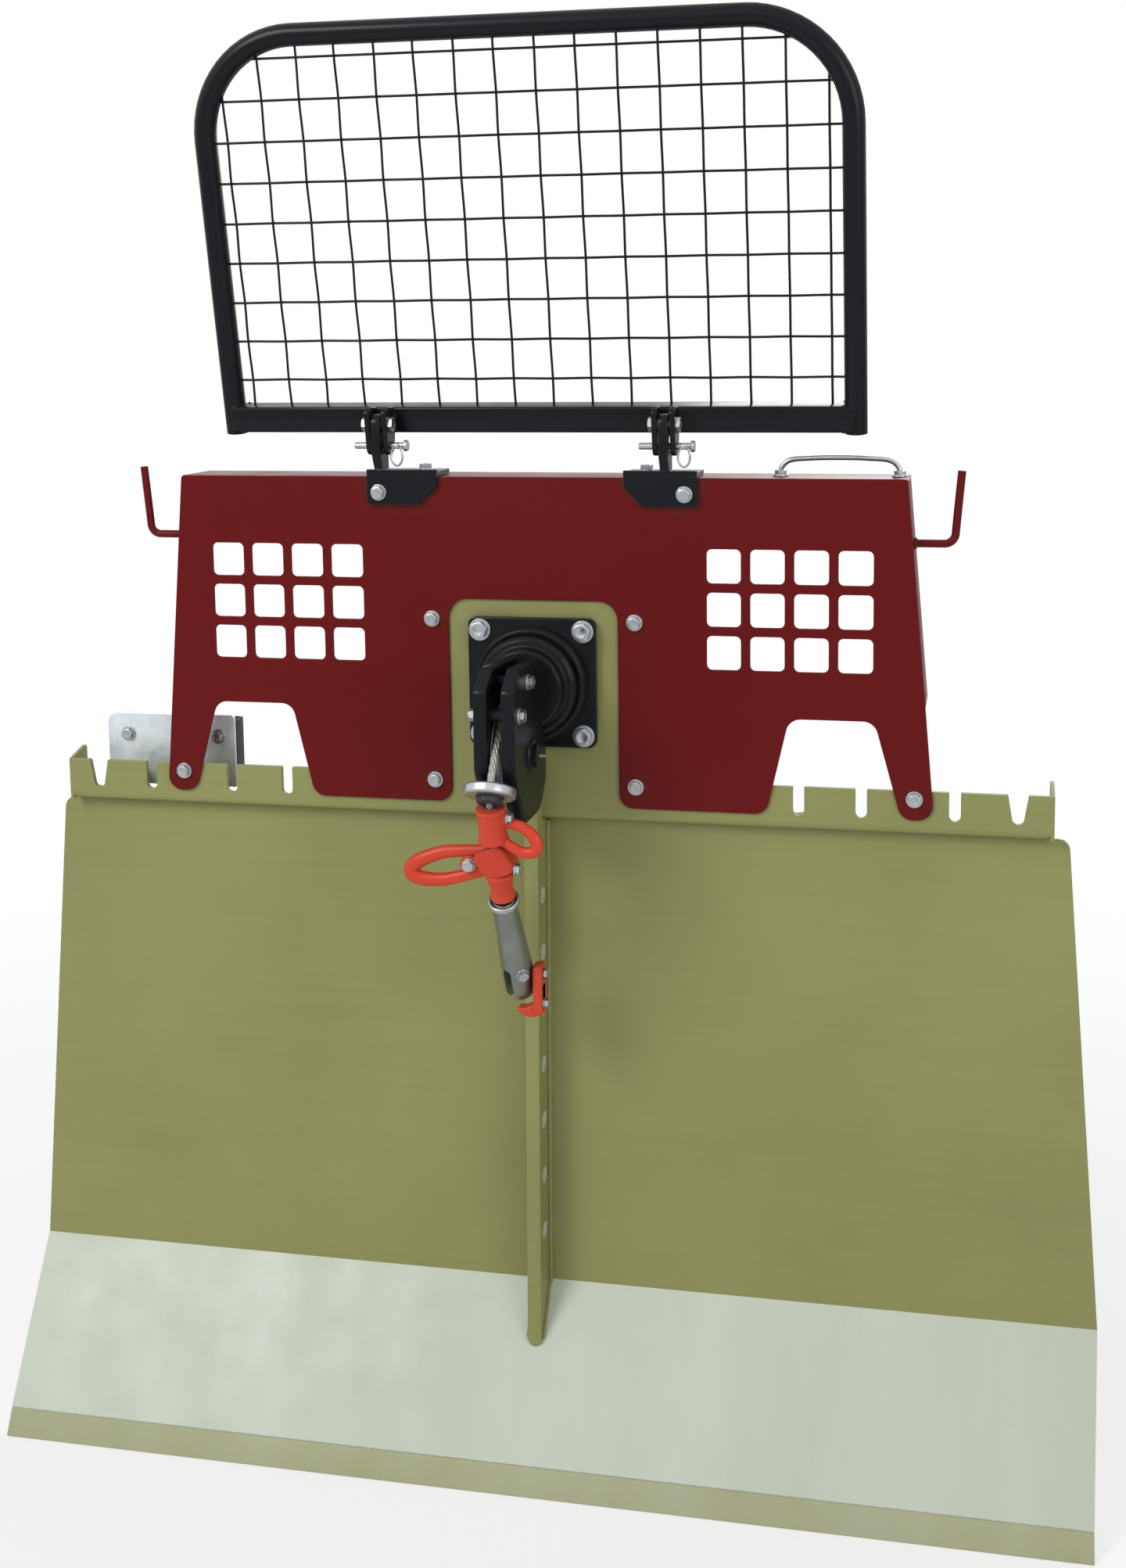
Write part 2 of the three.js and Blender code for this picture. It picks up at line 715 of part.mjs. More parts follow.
function holderBoltPlaces() {
  const inset = holderBoltInset;
  return [holderFromX + inset * 2, holderToX - inset * 1.6].map((x) => at(x, holderFrontY, holderBoltZ));
}

function holderBoltHoles() {
  return holderBoltPlaces().map((place) => boltHole(smallBolt, place, holderSheet + pocketWall + running));
}

// Rope head, fixed part
const flangeFrontY = railFrontY - seat - flangeThickness;
const ringFrontY = flangeFrontY - seat - ringDepth;

function makeHeadMount() {
  const shape = rounded(mirrorX.flatMap((sx) => [-sx, sx].map((sz) => [
    sx * flangeHalf, headZ + sz * flangeHalf, flangeRadius,
  ])));
  shape.holes.push(disc(0, headZ, neckRadius + running));
  const plate = frontSheet(shape, flangeFrontY, flangeThickness);
  const places = mirrorX.flatMap((sx) => mirrorX.map((sz) => at(
    sx * flangeBoltPlace, flangeFrontY, headZ + sz * flangeBoltPlace,
  )));
  const grip = flangeThickness + railThickness + largeBolt.headHeight;
  add('head_flange', join(plate, ...places.map((p) => bolt(largeBolt, p, Y, grip))), black);
  const back = flangeFrontY - seat;
  const bore = neckRadius + running;
  add('swivel_ring', turnedY([
    [bore, ringFrontY], [ringRadius - flangeRadius / 2, ringFrontY], [ringRadius, ringFrontY + flangeRadius / 2],
    [ringRadius, back], [bore, back], [bore, ringFrontY],
  ], 0, headZ, 24), black);
}

// Rope head, turning part
const hubBackY = ringFrontY - running;
const hubFrontY = hubBackY - hubDepth;
const noseFrontY = hubFrontY - noseDepth;
const headPulleyZ = headZ - pulleyPitchRadius;
const bossWall = 3;
const throughBolts = [[-152, 1247], [-203, 1208]];
const hubEdge = 4;
const axleProud = 4;
const axleCapDepth = 6;
const cheek = {
  crownBack: 62, crownRadius: 14, crownDrop: 28, browRadius: 10, lipRise: 88, lipRadius: 26, footHalf: 46,
  footFrontRadius: 30, footBackRadius: 36, heelRise: 40, heelRadius: 20, throat: 10, throatRadius: 8,
};

function cheekOutline() {
  const rear = noseFrontY - seat;
  return rounded([
    [rear, headZ + noseRadius * 0.8], [headPulleyY - cheek.crownBack, cheekTopZ, cheek.crownRadius],
    [cheekFrontY, cheekTopZ - cheek.crownDrop, cheek.browRadius],
    [cheekFrontY, cheekFootZ + cheek.lipRise, cheek.lipRadius],
    [headPulleyY - cheek.footHalf, cheekFootZ, cheek.footFrontRadius],
    [headPulleyY + cheek.footHalf, cheekFootZ, cheek.footBackRadius],
    [hubFrontY - running, cheekFootZ + cheek.heelRise, cheek.heelRadius],
    [hubFrontY - running, headZ - hubRadius - cheek.throat, cheek.throatRadius],
    [rear, headZ - noseRadius],
  ]);
}

function makeHead() {
  const collarY = railBackY + running;
  const neckBack = collarY + collarDepth;
  const slotHalf = pulleyWidth / 2 + running;
  const hub = turnedY([
    [ropeBoreRadius, neckBack], [ropeBoreRadius, noseFrontY], [noseRadius - hubEdge, noseFrontY],
    [noseRadius, noseFrontY + hubEdge], [noseRadius, hubFrontY], [hubRadius - hubEdge, hubFrontY],
    [hubRadius, hubFrontY + hubEdge], [hubRadius, hubBackY], [neckRadius, hubBackY], [neckRadius, collarY],
    [collarRadius, collarY], [collarRadius, neckBack],
    [ropeBoreRadius, neckBack],
  ], 0, headZ, 20);
  const slot = rod(
    pulleyRimRadius + running * 2, at(-slotHalf, headPulleyY, headPulleyZ),
    at(slotHalf, headPulleyY, headPulleyZ), 20,
  );
  add('head_hub', cut(hub, slot), black);
  const inner = cheekGap / 2;
  const outer = inner + cheekThickness;
  const holes = throughBolts.map(([y, z]) => rod(
    smallBolt.shank + running, at(-outer - overrun, y, z), at(outer + overrun, y, z), 8,
  ));
  const onAxle = (x) => at(x, headPulleyY, headPulleyZ);
  const axleHole = rod(pulleyAxleRadius + seat, onAxle(-outer - overrun), onAxle(outer + overrun), 12);
  const bosses = throughBolts.map(([y, z]) => rod(
    smallBolt.shank + bossWall, at(-inner - bite, y, z), at(inner - seat, y, z), 10,
  ));
  const left = join(sideSheet(cheekOutline(), -outer, -inner, 3), ...bosses);
  add('head_cheek_left', cut(left, ...holes, axleHole), black);
  add('head_cheek_right', cut(sideSheet(cheekOutline(), inner, outer, 3), ...holes, axleHole), black);
  throughBolts.forEach(([y, z], i) => add(
    ['head_bolt_upper', 'head_bolt_lower'][i],
    bolt(smallBolt, at(outer + seat, y, z), X.clone().negate(), outer * 2 + smallBolt.headHeight),
    zinc,
  ));
  const cap = pulleyAxleRadius * 1.5;
  add('pulley_axle', join(
    rod(pulleyAxleRadius, onAxle(-outer - axleProud), onAxle(outer + axleProud), 12),
    rod(cap, onAxle(outer + seat), onAxle(outer + axleCapDepth), 6),
    rod(cap, onAxle(-outer - axleCapDepth), onAxle(-outer - seat), 6),
  ), steel);
}

function pulley(y, z) {
  const w = pulleyWidth / 2;
  const rim = pulleyRimRadius;
  const floor = pulleyPitchRadius - ropeRadius - running * 1.5;
  const bore = pulleyAxleRadius + seat;
  return turnedX([
    [bore, -w], [rim, -w], [rim, -ropeRadius * 1.4], [floor + bite, -ropeRadius * 0.9], [floor, 0],
    [floor + bite, ropeRadius * 0.9], [rim, ropeRadius * 1.4], [rim, w], [bore, w], [bore, -w],
  ], y, z, 20);
}

// Drum, winding and chain drive
const chainLength = (distance) => {
  const step = sprocketRadius - pinionRadius;
  const lean = Math.asin(step / distance);
  const wrap = (sprocketTeeth + pinionTeeth) / 2 + (lean / Math.PI) * (sprocketTeeth - pinionTeeth);
  return wrap + (2 * Math.sqrt(distance ** 2 - step ** 2)) / chainPitch;
};

// The distance between the two shafts that closes the chain on whole links
function solveDistance() {
  let low = sprocketRadius;
  let high = sprocketRadius * 2;
  for (let i = 0; i < 50; i += 1) {
    const middle = (low + high) / 2;
    if (chainLength(middle) < chainLinks) low = middle;
    else high = middle;
  }
  return low;
}

const shaftDistance = solveDistance();
const drumZ = ptoZ + Math.sqrt(shaftDistance ** 2 - drumX ** 2);
const drumRearY = ropePlaneY + ropeRadius + running;
const clutchFrontY = drumRearY + drumFlangeThickness + running;
const sprocketFrontY = clutchFrontY + clutchThickness;
const sprocketBackY = sprocketFrontY + sprocketThickness;
const drumFrontY = ropePlaneY - windingLoops * ropePitch - ropeRadius - running;
const rimFrontY = drumFrontY - brakeRimWidth;
const innerPulleyY = ropePlaneY - pulleyPitchRadius;
const innerPulleyZ = headPulleyZ;
const loopStep = (Math.PI * 2) / windingStepsPerLoop;

function windingRoute() {
  const count = windingLoops * windingStepsPerLoop;
  const place = (i) => at(
    drumX + drumX * Math.cos(Math.PI + i * loopStep),
    ropePlaneY - (ropePitch * i) / windingStepsPerLoop,
    drumZ + drumX * Math.sin(Math.PI + i * loopStep),
  );
  const loops = Array.from({ length: count + 1 }, (_, i) => place(count - i));
  const start = loops[0].clone().addScaledVector(
    new THREE.Vector3().subVectors(loops[0], loops[1]).normalize(), ropeRadius * 2,
  );
  return [start, ...loops];
}

function leastGap(route) {
  let least = Infinity;
  for (let i = 0; i < route.length; i += 1) {
    for (let k = i + windingStepsPerLoop / 2; k < route.length; k += 1) {
      least = Math.min(least, route[i].distanceTo(route[k]) - ropeRadius * 2);
    }
  }
  return least;
}

// Points over a pulley from one angle to another, seen along +X with Y to the right
function overPulley(y, z, from, to, steps) {
  return Array.from({ length: steps + 1 }, (_, i) => {
    const angle = radians(from + ((to - from) * i) / steps);
    return at(0, y + pulleyPitchRadius * Math.cos(angle), z + pulleyPitchRadius * Math.sin(angle));
  });
}

function makeRopes() {
  const winding = windingRoute();
  console.log(`least gap between the loops of the winding ${leastGap(winding).toFixed(2)} mm`);
  const meetY = -ropeBoreRadius * 1.5;
  add('winch_rope', pipe([
    ...winding, ...overPulley(innerPulleyY, innerPulleyZ, 0, 90, 8), at(0, meetY, headZ),
  ], ropeRadius, 5), wireRope);
  add('rope_in_head', pipe([
    at(0, meetY - seat, headZ), ...overPulley(headPulleyY, headPulleyZ, 90, 180 - ropeLeaveAngle, 5),
  ], ropeRadius, 8), wireRope, head);
}

function makeDrum() {
  const bore = drumShaftRadius + running;
  const wall = drumFlangeThickness;
  const rear = drumRearY + drumFlangeThickness;
  add('rope_drum', turnedY([
    [bore, rimFrontY], [bore + wall, rimFrontY], [bore + wall, drumFrontY - wall / 2],
    [drumFlangeRadius - wall, drumFrontY - wall / 2], [drumFlangeRadius - wall, rimFrontY],
    [drumFlangeRadius, rimFrontY], [drumFlangeRadius, drumFrontY], [drumCoreRadius, drumFrontY],
    [drumCoreRadius, drumRearY], [drumFlangeRadius, drumRearY], [drumFlangeRadius, rear], [bore, rear],
    [bore, rimFrontY],
  ], drumX, drumZ, windingStepsPerLoop), steel);
  const core = drumX * Math.cos(loopStep / 2) - ropeRadius - seat;
  add('rope_layers', turnedY(
    ring(drumCoreRadius + seat, core, drumFrontY + seat, drumRearY - seat), drumX, drumZ, windingStepsPerLoop,
  ), wireRope);
  add('drum_shaft', join(
    rod(drumShaftRadius, at(drumX, frontPlateY + frontPlateThickness / 2, drumZ), at(drumX, frameBackY, drumZ), 14),
    rod(drumShaftRadius * 1.6, at(drumX, frontPlateBackY + seat, drumZ), at(drumX, rimFrontY - running, drumZ), 6),
  ), steel);
}

// A toothed wheel whose gap number zero points along an angle
function toothed(teeth, radius, gapAngle, bore, x, z) {
  const outline = [];
  for (let i = 0; i < teeth; i += 1) {
    const middle = gapAngle + ((i + 0.5) * Math.PI * 2) / teeth;
    const rootRadius = radius - rollerRadius - running;
    const rootWidth = (chainPitch * toothRootShare) / rootRadius;
    outline.push([rootRadius, middle - rootWidth]);
    outline.push([radius + chainPitch * toothTipShare, middle]);
    outline.push([rootRadius, middle + rootWidth]);
  }
  const shape = new THREE.Shape(outline.map(([r, a]) => new THREE.Vector2(x + r * Math.cos(a), z + r * Math.sin(a))));
  shape.holes.push(disc(x, z, bore));
  return shape;
}

// Where the chain runs: a place for every whole link
function chainPlaces() {
  const toDrum = Math.atan2(drumZ - ptoZ, drumX);
  const step = sprocketRadius - pinionRadius;
  const lean = Math.asin(step / shaftDistance);
  const span = Math.sqrt(shaftDistance ** 2 - step ** 2) / chainPitch;
  const wrapLarge = ((Math.PI + lean * 2) / (Math.PI * 2)) * sprocketTeeth;
  const wrapSmall = ((Math.PI - lean * 2) / (Math.PI * 2)) * pinionTeeth;
  const largeFrom = toDrum - Math.PI / 2 - lean;
  const smallFrom = toDrum + Math.PI / 2 + lean;
  const on = (x, z, radius, angle) => new THREE.Vector2(x + radius * Math.cos(angle), z + radius * Math.sin(angle));
  const large = (t) => on(drumX, drumZ, sprocketRadius, largeFrom + (t / sprocketTeeth) * Math.PI * 2);
  const small = (t) => on(0, ptoZ, pinionRadius, smallFrom + (t / pinionTeeth) * Math.PI * 2);
  const places = [];
  for (let i = 0; i < chainLinks; i += 1) {
    const t = i;
    if (t <= wrapLarge) places.push(large(t));
    else if (t <= wrapLarge + span) places.push(large(wrapLarge).lerp(small(0), (t - wrapLarge) / span));
    else if (t <= wrapLarge + span + wrapSmall) places.push(small(t - wrapLarge - span));
    else places.push(small(wrapSmall).lerp(large(0), (t - wrapLarge - span - wrapSmall) / span));
  }
  const firstSmall = Math.ceil(wrapLarge + span) - wrapLarge - span;
  return { places, largeGap: largeFrom, smallGap: smallFrom + (firstSmall / pinionTeeth) * Math.PI * 2 };
}

function makeDrive() {
  const { places, largeGap, smallGap } = chainPlaces();
  const shaftBore = drumShaftRadius + running;
  const wheel = toothed(sprocketTeeth, sprocketRadius, largeGap, shaftBore, drumX, drumZ);
  const webRadius = (drumCoreRadius + shaftBore) / 2;
  for (let i = 0; i < webHoles; i += 1) {
    const angle = (i / webHoles) * Math.PI * 2;
    wheel.holes.push(disc(
      drumX + webRadius * Math.cos(angle), drumZ + webRadius * Math.sin(angle), drumCoreRadius * webHoleShare,
    ));
  }
  const lining = turnedY(ring(
    drumCoreRadius, sprocketRadius - chainPitch, clutchFrontY, sprocketFrontY + sprocketThickness / 2,
  ), drumX, drumZ, 20);
  add('drive_sprocket', join(frontSheet(wheel, sprocketFrontY, sprocketThickness, 3), lining), grayIron);

  const pinion = frontSheet(
    toothed(pinionTeeth, pinionRadius, smallGap, ptoRadius / 2, 0, ptoZ), sprocketFrontY, sprocketThickness,
  );
  const splineY = ptoEndY - ptoSplineLength;
  const spline = new THREE.Shape();
  for (let i = 0; i < ptoSplines * 4; i += 1) {
    const angle = ((i + 0.5) / (ptoSplines * 4)) * Math.PI * 2;
    const r = Math.floor(i / 2) % 2 ? ptoRadius - ptoSplineDepth : ptoRadius;
    const point = [r * Math.cos(angle), ptoZ + r * Math.sin(angle)];
    if (i === 0) spline.moveTo(...point);
    else spline.lineTo(...point);
  }
  add('pto_shaft', join(
    rod(ptoRadius, at(0, frontPlateBackY + seat, ptoZ), at(0, splineY, ptoZ), 12), pinion,
    frontSheet(spline, splineY - seat, ptoSplineLength),
  ), steel);

  const half = plateHeight / 2;
  const band = (offset) => places.map((place, i) => {
    const ahead = places[(i + 1) % places.length];
    const behind = places.at(i - 1);
    const along = ahead.clone().sub(behind).normalize();
    return place.clone().add(new THREE.Vector2(along.y, -along.x).multiplyScalar(offset));
  });
  const loop = new THREE.Shape(band(half));
  loop.holes.push(new THREE.Path(band(-half)));
  const middleY = sprocketFrontY + sprocketThickness / 2;
  const inner = sprocketThickness / 2 + running;
  const rollers = places.map(({ x, y }) => rod(
    rollerRadius, at(x, middleY - inner - plateThickness / 2, y), at(x, middleY + inner + plateThickness / 2, y), 4,
  ));
  add('drive_chain', join(
    frontSheet(loop, middleY - inner - plateThickness, plateThickness),
    frontSheet(loop, middleY + inner, plateThickness), ...rollers,
  ), steel);
}

// Welded frame behind the blade
const bladeBackAt = (z) => bladeFrontAt(z) + bladeBackOffset + seat;
const lipBackAt = (z) => lipFrontAt(z) + lipBackOffset + seat;

function makeFrame() {
  const tubeFrontY = frameBackY - tubeSize;
  const bendZ = lipStart.z - (lipBackOffset - bladeBackOffset) / (lipSlope - bladeSlope);
  const outline = rounded([
    [bladeBackAt(frameTopZ), frameTopZ], [bladeBackAt(bendZ), bendZ],
    [lipBackAt(sideFootZ), sideFootZ], [tubeFrontY, sideFootZ], [frameBackY, lowerTubeZ - tubeSize / 2],
    [frameBackY, frameTopZ],
  ]);
  for (const [name, from] of [['side_plate_left', -sidePlateX - sidePlateThickness], ['side_plate_right', sidePlateX]]) {
    const pinX = from < 0 ? from : from + sidePlateThickness;
    const out = Math.sign(from);
    const pin = join(
      rod(lowerPinRadius, at(pinX - out, lowerPinY, lowerPinZ), at(pinX + out * lowerPinLength, lowerPinY, lowerPinZ), 14),
      rod(lowerPinRadius * 1.8, at(pinX - out, lowerPinY, lowerPinZ), at(pinX + out * sidePlateThickness, lowerPinY, lowerPinZ), 14),
    );
    add(name, join(sideSheet(outline, from, from + sidePlateThickness), pin), olive);
  }
  const half = sidePlateX - seat;
  const front = rounded([
    [-half, frontPlateFootZ], [half, frontPlateFootZ], [half, frameTopZ], [-half, frameTopZ],
  ]);
  front.holes.push(disc(drumX, drumZ, drumShaftRadius + seat));
  const brakeStud = rod(
    leverPinRadius, at(brakeLever.x, frontPlateBackY - bite, brakeLever.z),
    at(brakeLever.x, brakeLever.y + leverThickness * 1.5, brakeLever.z), 10,
  );
  add('front_plate', join(frontSheet(front, frontPlateY, frontPlateThickness, 3), brakeStud), olive);
  const rear = rounded([
    [-rearPlateHalf, lowerTubeZ + tubeSize / 2 + seat], [rearPlateHalf, lowerTubeZ + tubeSize / 2 + seat],
    [half, drumZ - drumCoreRadius], [half, drumZ + drumCoreRadius], [rearPlateHalf, drumZ + drumCoreRadius],
    [-rearPlateHalf, ptoZ + rearPlateHalf],
  ]);
  rear.holes.push(disc(drumX, drumZ, drumShaftRadius + seat), disc(0, ptoZ, ptoRadius + running));
  const clutchStud = rod(
    leverPinRadius, at(clutchLever.x, rearPlateY + bite, clutchLever.z),
    at(clutchLever.x, clutchLever.y + leverThickness * 1.5, clutchLever.z), 10,
  );
  add('rear_plate', join(frontSheet(rear, rearPlateY, rearPlateThickness, 3), clutchStud), olive);
  const crossTubeAt = (z) => {
    const outer = block(-half, half, tubeFrontY, frameBackY, z - tubeSize / 2, z + tubeSize / 2);
    const bore = block(
      -half - overrun, half + overrun, tubeFrontY + tubeWall, frameBackY - tubeWall,
      z - tubeSize / 2 + tubeWall, z + tubeSize / 2 - tubeWall,
    );
    return cut(outer, bore);
  };
  add('lower_cross_tube', crossTubeAt(lowerTubeZ), olive);
  add('upper_cross_tube', crossTubeAt(frameTopZ - tubeSize / 2), olive);
  add('top_plate', cut(
    block(-half, half, frontPlateBackY + seat, tubeFrontY - seat, frameTopZ - topPlateThickness, frameTopZ),
    block(-ropeBoreRadius, ropeBoreRadius, ropePlaneY - ropeBoreRadius * 2, frameBackY, frameTopZ - tubeSize, frameTopZ + overrun),
  ), olive);
}

function makePost() {
  const inner = pulleyWidth / 2 + running;
  const outer = inner + postThickness;
  const foot = frameTopZ + seat;
  const front = railBackY + seat;
  const outline = rounded([
    [frontPlateBackY, foot], [frontPlateBackY, railFootZ], [front, railFootZ + wingRise],
    [front, headZ - collarRadius - running], [front + collarDepth + running, headZ - collarRadius - running],
    [front + collarDepth + running, headZ + collarRadius + running], [front, headZ + collarRadius + running],
    [front, postTopZ], [postBackY, postTopZ, windowRadius], [postBackY, foot],
  ]);
  const axle = rod(pulleyAxleRadius + seat, at(-outer - overrun, innerPulleyY, innerPulleyZ), at(outer + overrun, innerPulleyY, innerPulleyZ), 12);
  add('pulley_post', cut(join(
    sideSheet(outline, -outer, -inner), sideSheet(outline, inner, outer),
    block(-outer, outer, front, postBackY - windowRadius, postTopZ - postThickness, postTopZ),
    block(-outer * 2, outer * 2, frontPlateBackY, ropePlaneY - ropeBoreRadius * 2, foot, foot + postThickness),
  ), axle), olive);
  add('inner_pulley', pulley(innerPulleyY, innerPulleyZ), steel);
  const cap = pulleyAxleRadius * 1.5;
  add('inner_pulley_axle', join(
    rod(pulleyAxleRadius, at(-outer - cap / 2, innerPulleyY, innerPulleyZ), at(outer + cap / 3, innerPulleyY, innerPulleyZ), 12),
    rod(cap, at(outer + seat, innerPulleyY, innerPulleyZ), at(outer + cap / 2, innerPulleyY, innerPulleyZ), 6),
  ), steel);
}

function makeLevers() {
  const lever = ({ x, y, z, top }) => {
    const shape = rounded([
      [x - leverWidth / 2, z - leverWidth, leverWidth / 2], [x + leverWidth / 2, z - leverWidth, leverWidth / 2],
      [x + leverWidth / 3, top, leverWidth / 4], [x - leverWidth / 3, top, leverWidth / 4],
    ]);
    shape.holes.push(disc(x, z, leverPinRadius + running), disc(x, top - leverWidth / 2, leverPinRadius / 2));
    return frontSheet(shape, y, leverThickness, 3);
  };
  add('brake_lever', lever(brakeLever), steel);
  add('clutch_lever', lever(clutchLever), steel);
  const from = radians(bandGap) - Math.PI;
  const stepAngle = ((Math.PI - radians(bandGap)) * 2) / bandSteps;
  const arc = (radius) => Array.from({ length: bandSteps + 1 }, (_, i) => new THREE.Vector2(
    drumX + radius * Math.cos(from + i * stepAngle), drumZ + radius * Math.sin(from + i * stepAngle),
  ));
  const inside = (drumFlangeRadius + running) / Math.cos(stepAngle / 2);
  const band = new THREE.Shape([...arc(inside + bandThickness), ...arc(inside).reverse()]);
  add('brake_band', frontSheet(band, rimFrontY, brakeRimWidth), black);
}

function makeLinkage() {
  const half = topEarGap / 2;
  const foot = frameTopZ + seat;
  const outline = rounded([
    [frameBackY - tubeSize, foot], [frameBackY, foot], [topPinY + topEarRadius, topPinZ - topEarRadius, topEarRadius],
    [topPinY + topEarRadius, topPinZ + topEarRadius, topEarRadius],
    [topPinY - topEarRadius, topPinZ + topEarRadius, topEarRadius],
  ]);
  const hole = rod(topPinRadius + seat, at(-topEarGap, topPinY, topPinZ), at(topEarGap, topPinY, topPinZ), 12);
  const outer = half + topEarThickness;
  add('top_link_ears', join(
    cut(sideSheet(outline, -outer, -half, 4), hole), cut(sideSheet(outline, half, outer, 4), hole),
    block(-half - bite, half + bite, postBackY + overrun, frameBackY, foot, foot + topEarThickness),
  ), olive);
  add('top_link_pin', join(
    rod(topPinRadius, at(-outer - topPinRadius * 2, topPinY, topPinZ), at(outer + topPinRadius, topPinY, topPinZ), 12),
    rod(topPinRadius * 1.6, at(outer + seat, topPinY, topPinZ), at(outer + topPinRadius, topPinY, topPinZ), 12),
  ), zinc);
}

function makeStand() {
  const inside = standSize / 2 + running;
  const outside = inside + standWall;
  const y = frameBackY + seat + outside;
  const tube = (reach, bore, from, to) => cut(
    block(standX - reach, standX + reach, y - reach, y + reach, from, to),
    block(standX - bore, standX + bore, y - bore, y + bore, from - overrun, to + overrun),
  );
  add('stand_sleeve', tube(outside, inside, lowerTubeZ - tubeSize / 2, lowerTubeZ - tubeSize / 2 + standSleeveHeight), olive);
  const leg = tube(standSize / 2, standSize / 2 - standWall, 0, standHeight);
  const end = block(standX - standSize / 3, standX + standSize / 3, y - standSize / 3, y + standSize / 3, 0, standWall);
  add('parking_stand', join(leg, block(
    standX - standSize / 2, standX + standSize / 2, y - standSize / 2, y + standSize / 2, 0, standWall,
  ), end), grayIron);
}

function makePtoGuard() {
  const back = rearPlateY + rearPlateThickness + seat;
  add('pto_bearing', turnedY(
    ring(ptoRadius + running, ptoGuardInner - seat, back, back + bearingDepth), 0, ptoZ, 16,
  ), grayIron);
  const wall = ptoGuardWall;
  add('pto_guard', turnedY([
    [ptoGuardInner, back], [ptoGuardOuter, back], [ptoGuardOuter, back + wall],
    [ptoGuardInner + wall, back + wall], [ptoGuardOuter, ptoGuardEndY], [ptoGuardOuter - wall, ptoGuardEndY],
    [ptoGuardInner, back + wall], [ptoGuardInner, back],
  ], 0, ptoZ, 16), plastic);
}

// Guard, drawn in its own leaning plane: x, the way up it, and the way out of its front
const guardUp = at(0, -Math.sin(radians(guardLean)), Math.cos(radians(guardLean)));
const guardOut = at(0, -Math.cos(radians(guardLean)), -Math.sin(radians(guardLean)));
const onGuard = (x, v, out = 0) => at(x, guardFoot.y, guardFoot.z)
  .addScaledVector(guardUp, v).addScaledVector(guardOut, out);
const pivotOut = crossTube / 2 + pivotReach;
const pivotPlace = onGuard(0, pivotV, pivotOut);
const lockPlace = onGuard(0, pivotV - lockDrop, pivotOut);
const earGap = tongueThickness + tongueClearance * 2;
const clevisPlaces = [
  ['left', clevisShift - clevisHalfPitch, -1], ['right', clevisShift + clevisHalfPitch, 1],
];

function guardRoute() {
  const bend = (from, x) => Array.from({ length: guardBendSteps + 1 }, (_, i) => {
    const angle = from + ((i / guardBendSteps) * Math.PI) / 2;
    const v = guardTopV - guardCornerRadius + guardCornerRadius * Math.sin(angle);
    return onGuard(x + guardCornerRadius * Math.cos(angle), v);
  });
  const corner = guardHalf - guardCornerRadius;
  return [
    onGuard(guardHalf, guardFootV), ...bend(0, corner), ...bend(Math.PI / 2, -corner), onGuard(-guardHalf, guardFootV),
  ];
}

// A flat outline drawn in the guard's out and up directions, running in X
function guardSheet(corners, fromX, toX) {
  const outline = rounded(corners.map(([out, v, r = 0]) => {
    const place = onGuard(0, v, out);
    return [place.y, place.z, r];
  }));
  return sideSheet(outline, fromX, toX, 2);
}

function square(half) {
  return [[-half, -half], [half, -half], [half, half], [-half, half]];
}

function makeGuard() {
  const tube = pipe(guardRoute(), guardTubeRadius, 8);
  const bar = cut(
    guardSheet(square(crossTube / 2), -guardHalf, guardHalf),
    guardSheet(square(crossTube / 2 - crossWall), -guardHalf - overrun, guardHalf + overrun),
    ...mirrorX.map((sign) => rod(
      drainRadius, onGuard(sign * bracketInner, -crossTube), onGuard(sign * bracketInner, 0), 8,
    )),
  );
  const low = pivotV - lockDrop - earMargin;
  const out = pivotOut + earMargin;
  const ear = [
    [crossTube / 2 - crossWall / 2, crossTube / 2], [out, crossTube / 2 + pivotRadius, earMargin],
    [out, low, earMargin], [pivotOut - earMargin, low, earMargin], [crossTube / 2 - crossWall / 2, -crossTube / 2],
  ];
  const onPivot = (x) => at(x, pivotPlace.y, pivotPlace.z);
  const onLock = (x) => at(x, lockPlace.y, lockPlace.z);
  const lockHole = rod(lockRadius + seat, onLock(-guardHalf), onLock(guardHalf), 8);
  const ears = clevisPlaces.flatMap(([, x]) => {
    const inner = earGap / 2;
    const outer = inner + earThickness;
    return [
      cut(guardSheet(ear, x - outer, x - inner), lockHole), cut(guardSheet(ear, x + inner, x + outer), lockHole),
      rod(pivotRadius, onPivot(x - outer - pivotRadius / 2), onPivot(x + outer + pivotRadius / 2), 12),
      rod(pivotRadius * 1.6, onPivot(x + outer - bite), onPivot(x + outer + pivotRadius), 6),
    ];
  });
  add('guard_frame', join(tube, bar, ...ears), black);

  for (const [side, x] of clevisPlaces) {
    const reach = earGap / 2 + earThickness + lockOverhang;
    const ringX = x + reach - lockRadius * 2;
    const clip = Array.from({ length: 9 }, (_, i) => {
      const angle = (0.5 + (i / 8) * 1.8) * Math.PI;
      return at(
        ringX + clipRadius * Math.cos(angle) * 0.6, lockPlace.y - lockRadius * 1.8,
        lockPlace.z - clipRadius + clipRadius * Math.sin(angle),
      );
    });
    add(`lock_pin_${side}`, join(
      rod(lockRadius, onLock(x - reach), onLock(x + reach), 8),
      rod(lockRadius * 1.7, onLock(x + reach - bite), onLock(x + reach + lockRadius), 8),
      rod(clipWire, onLock(ringX), onLock(ringX).addScaledVector(Y, -lockRadius * 1.8), 6),
      pipe(clip, clipWire, 4),
    ), zinc);
  }
  makeNet(tube);
}

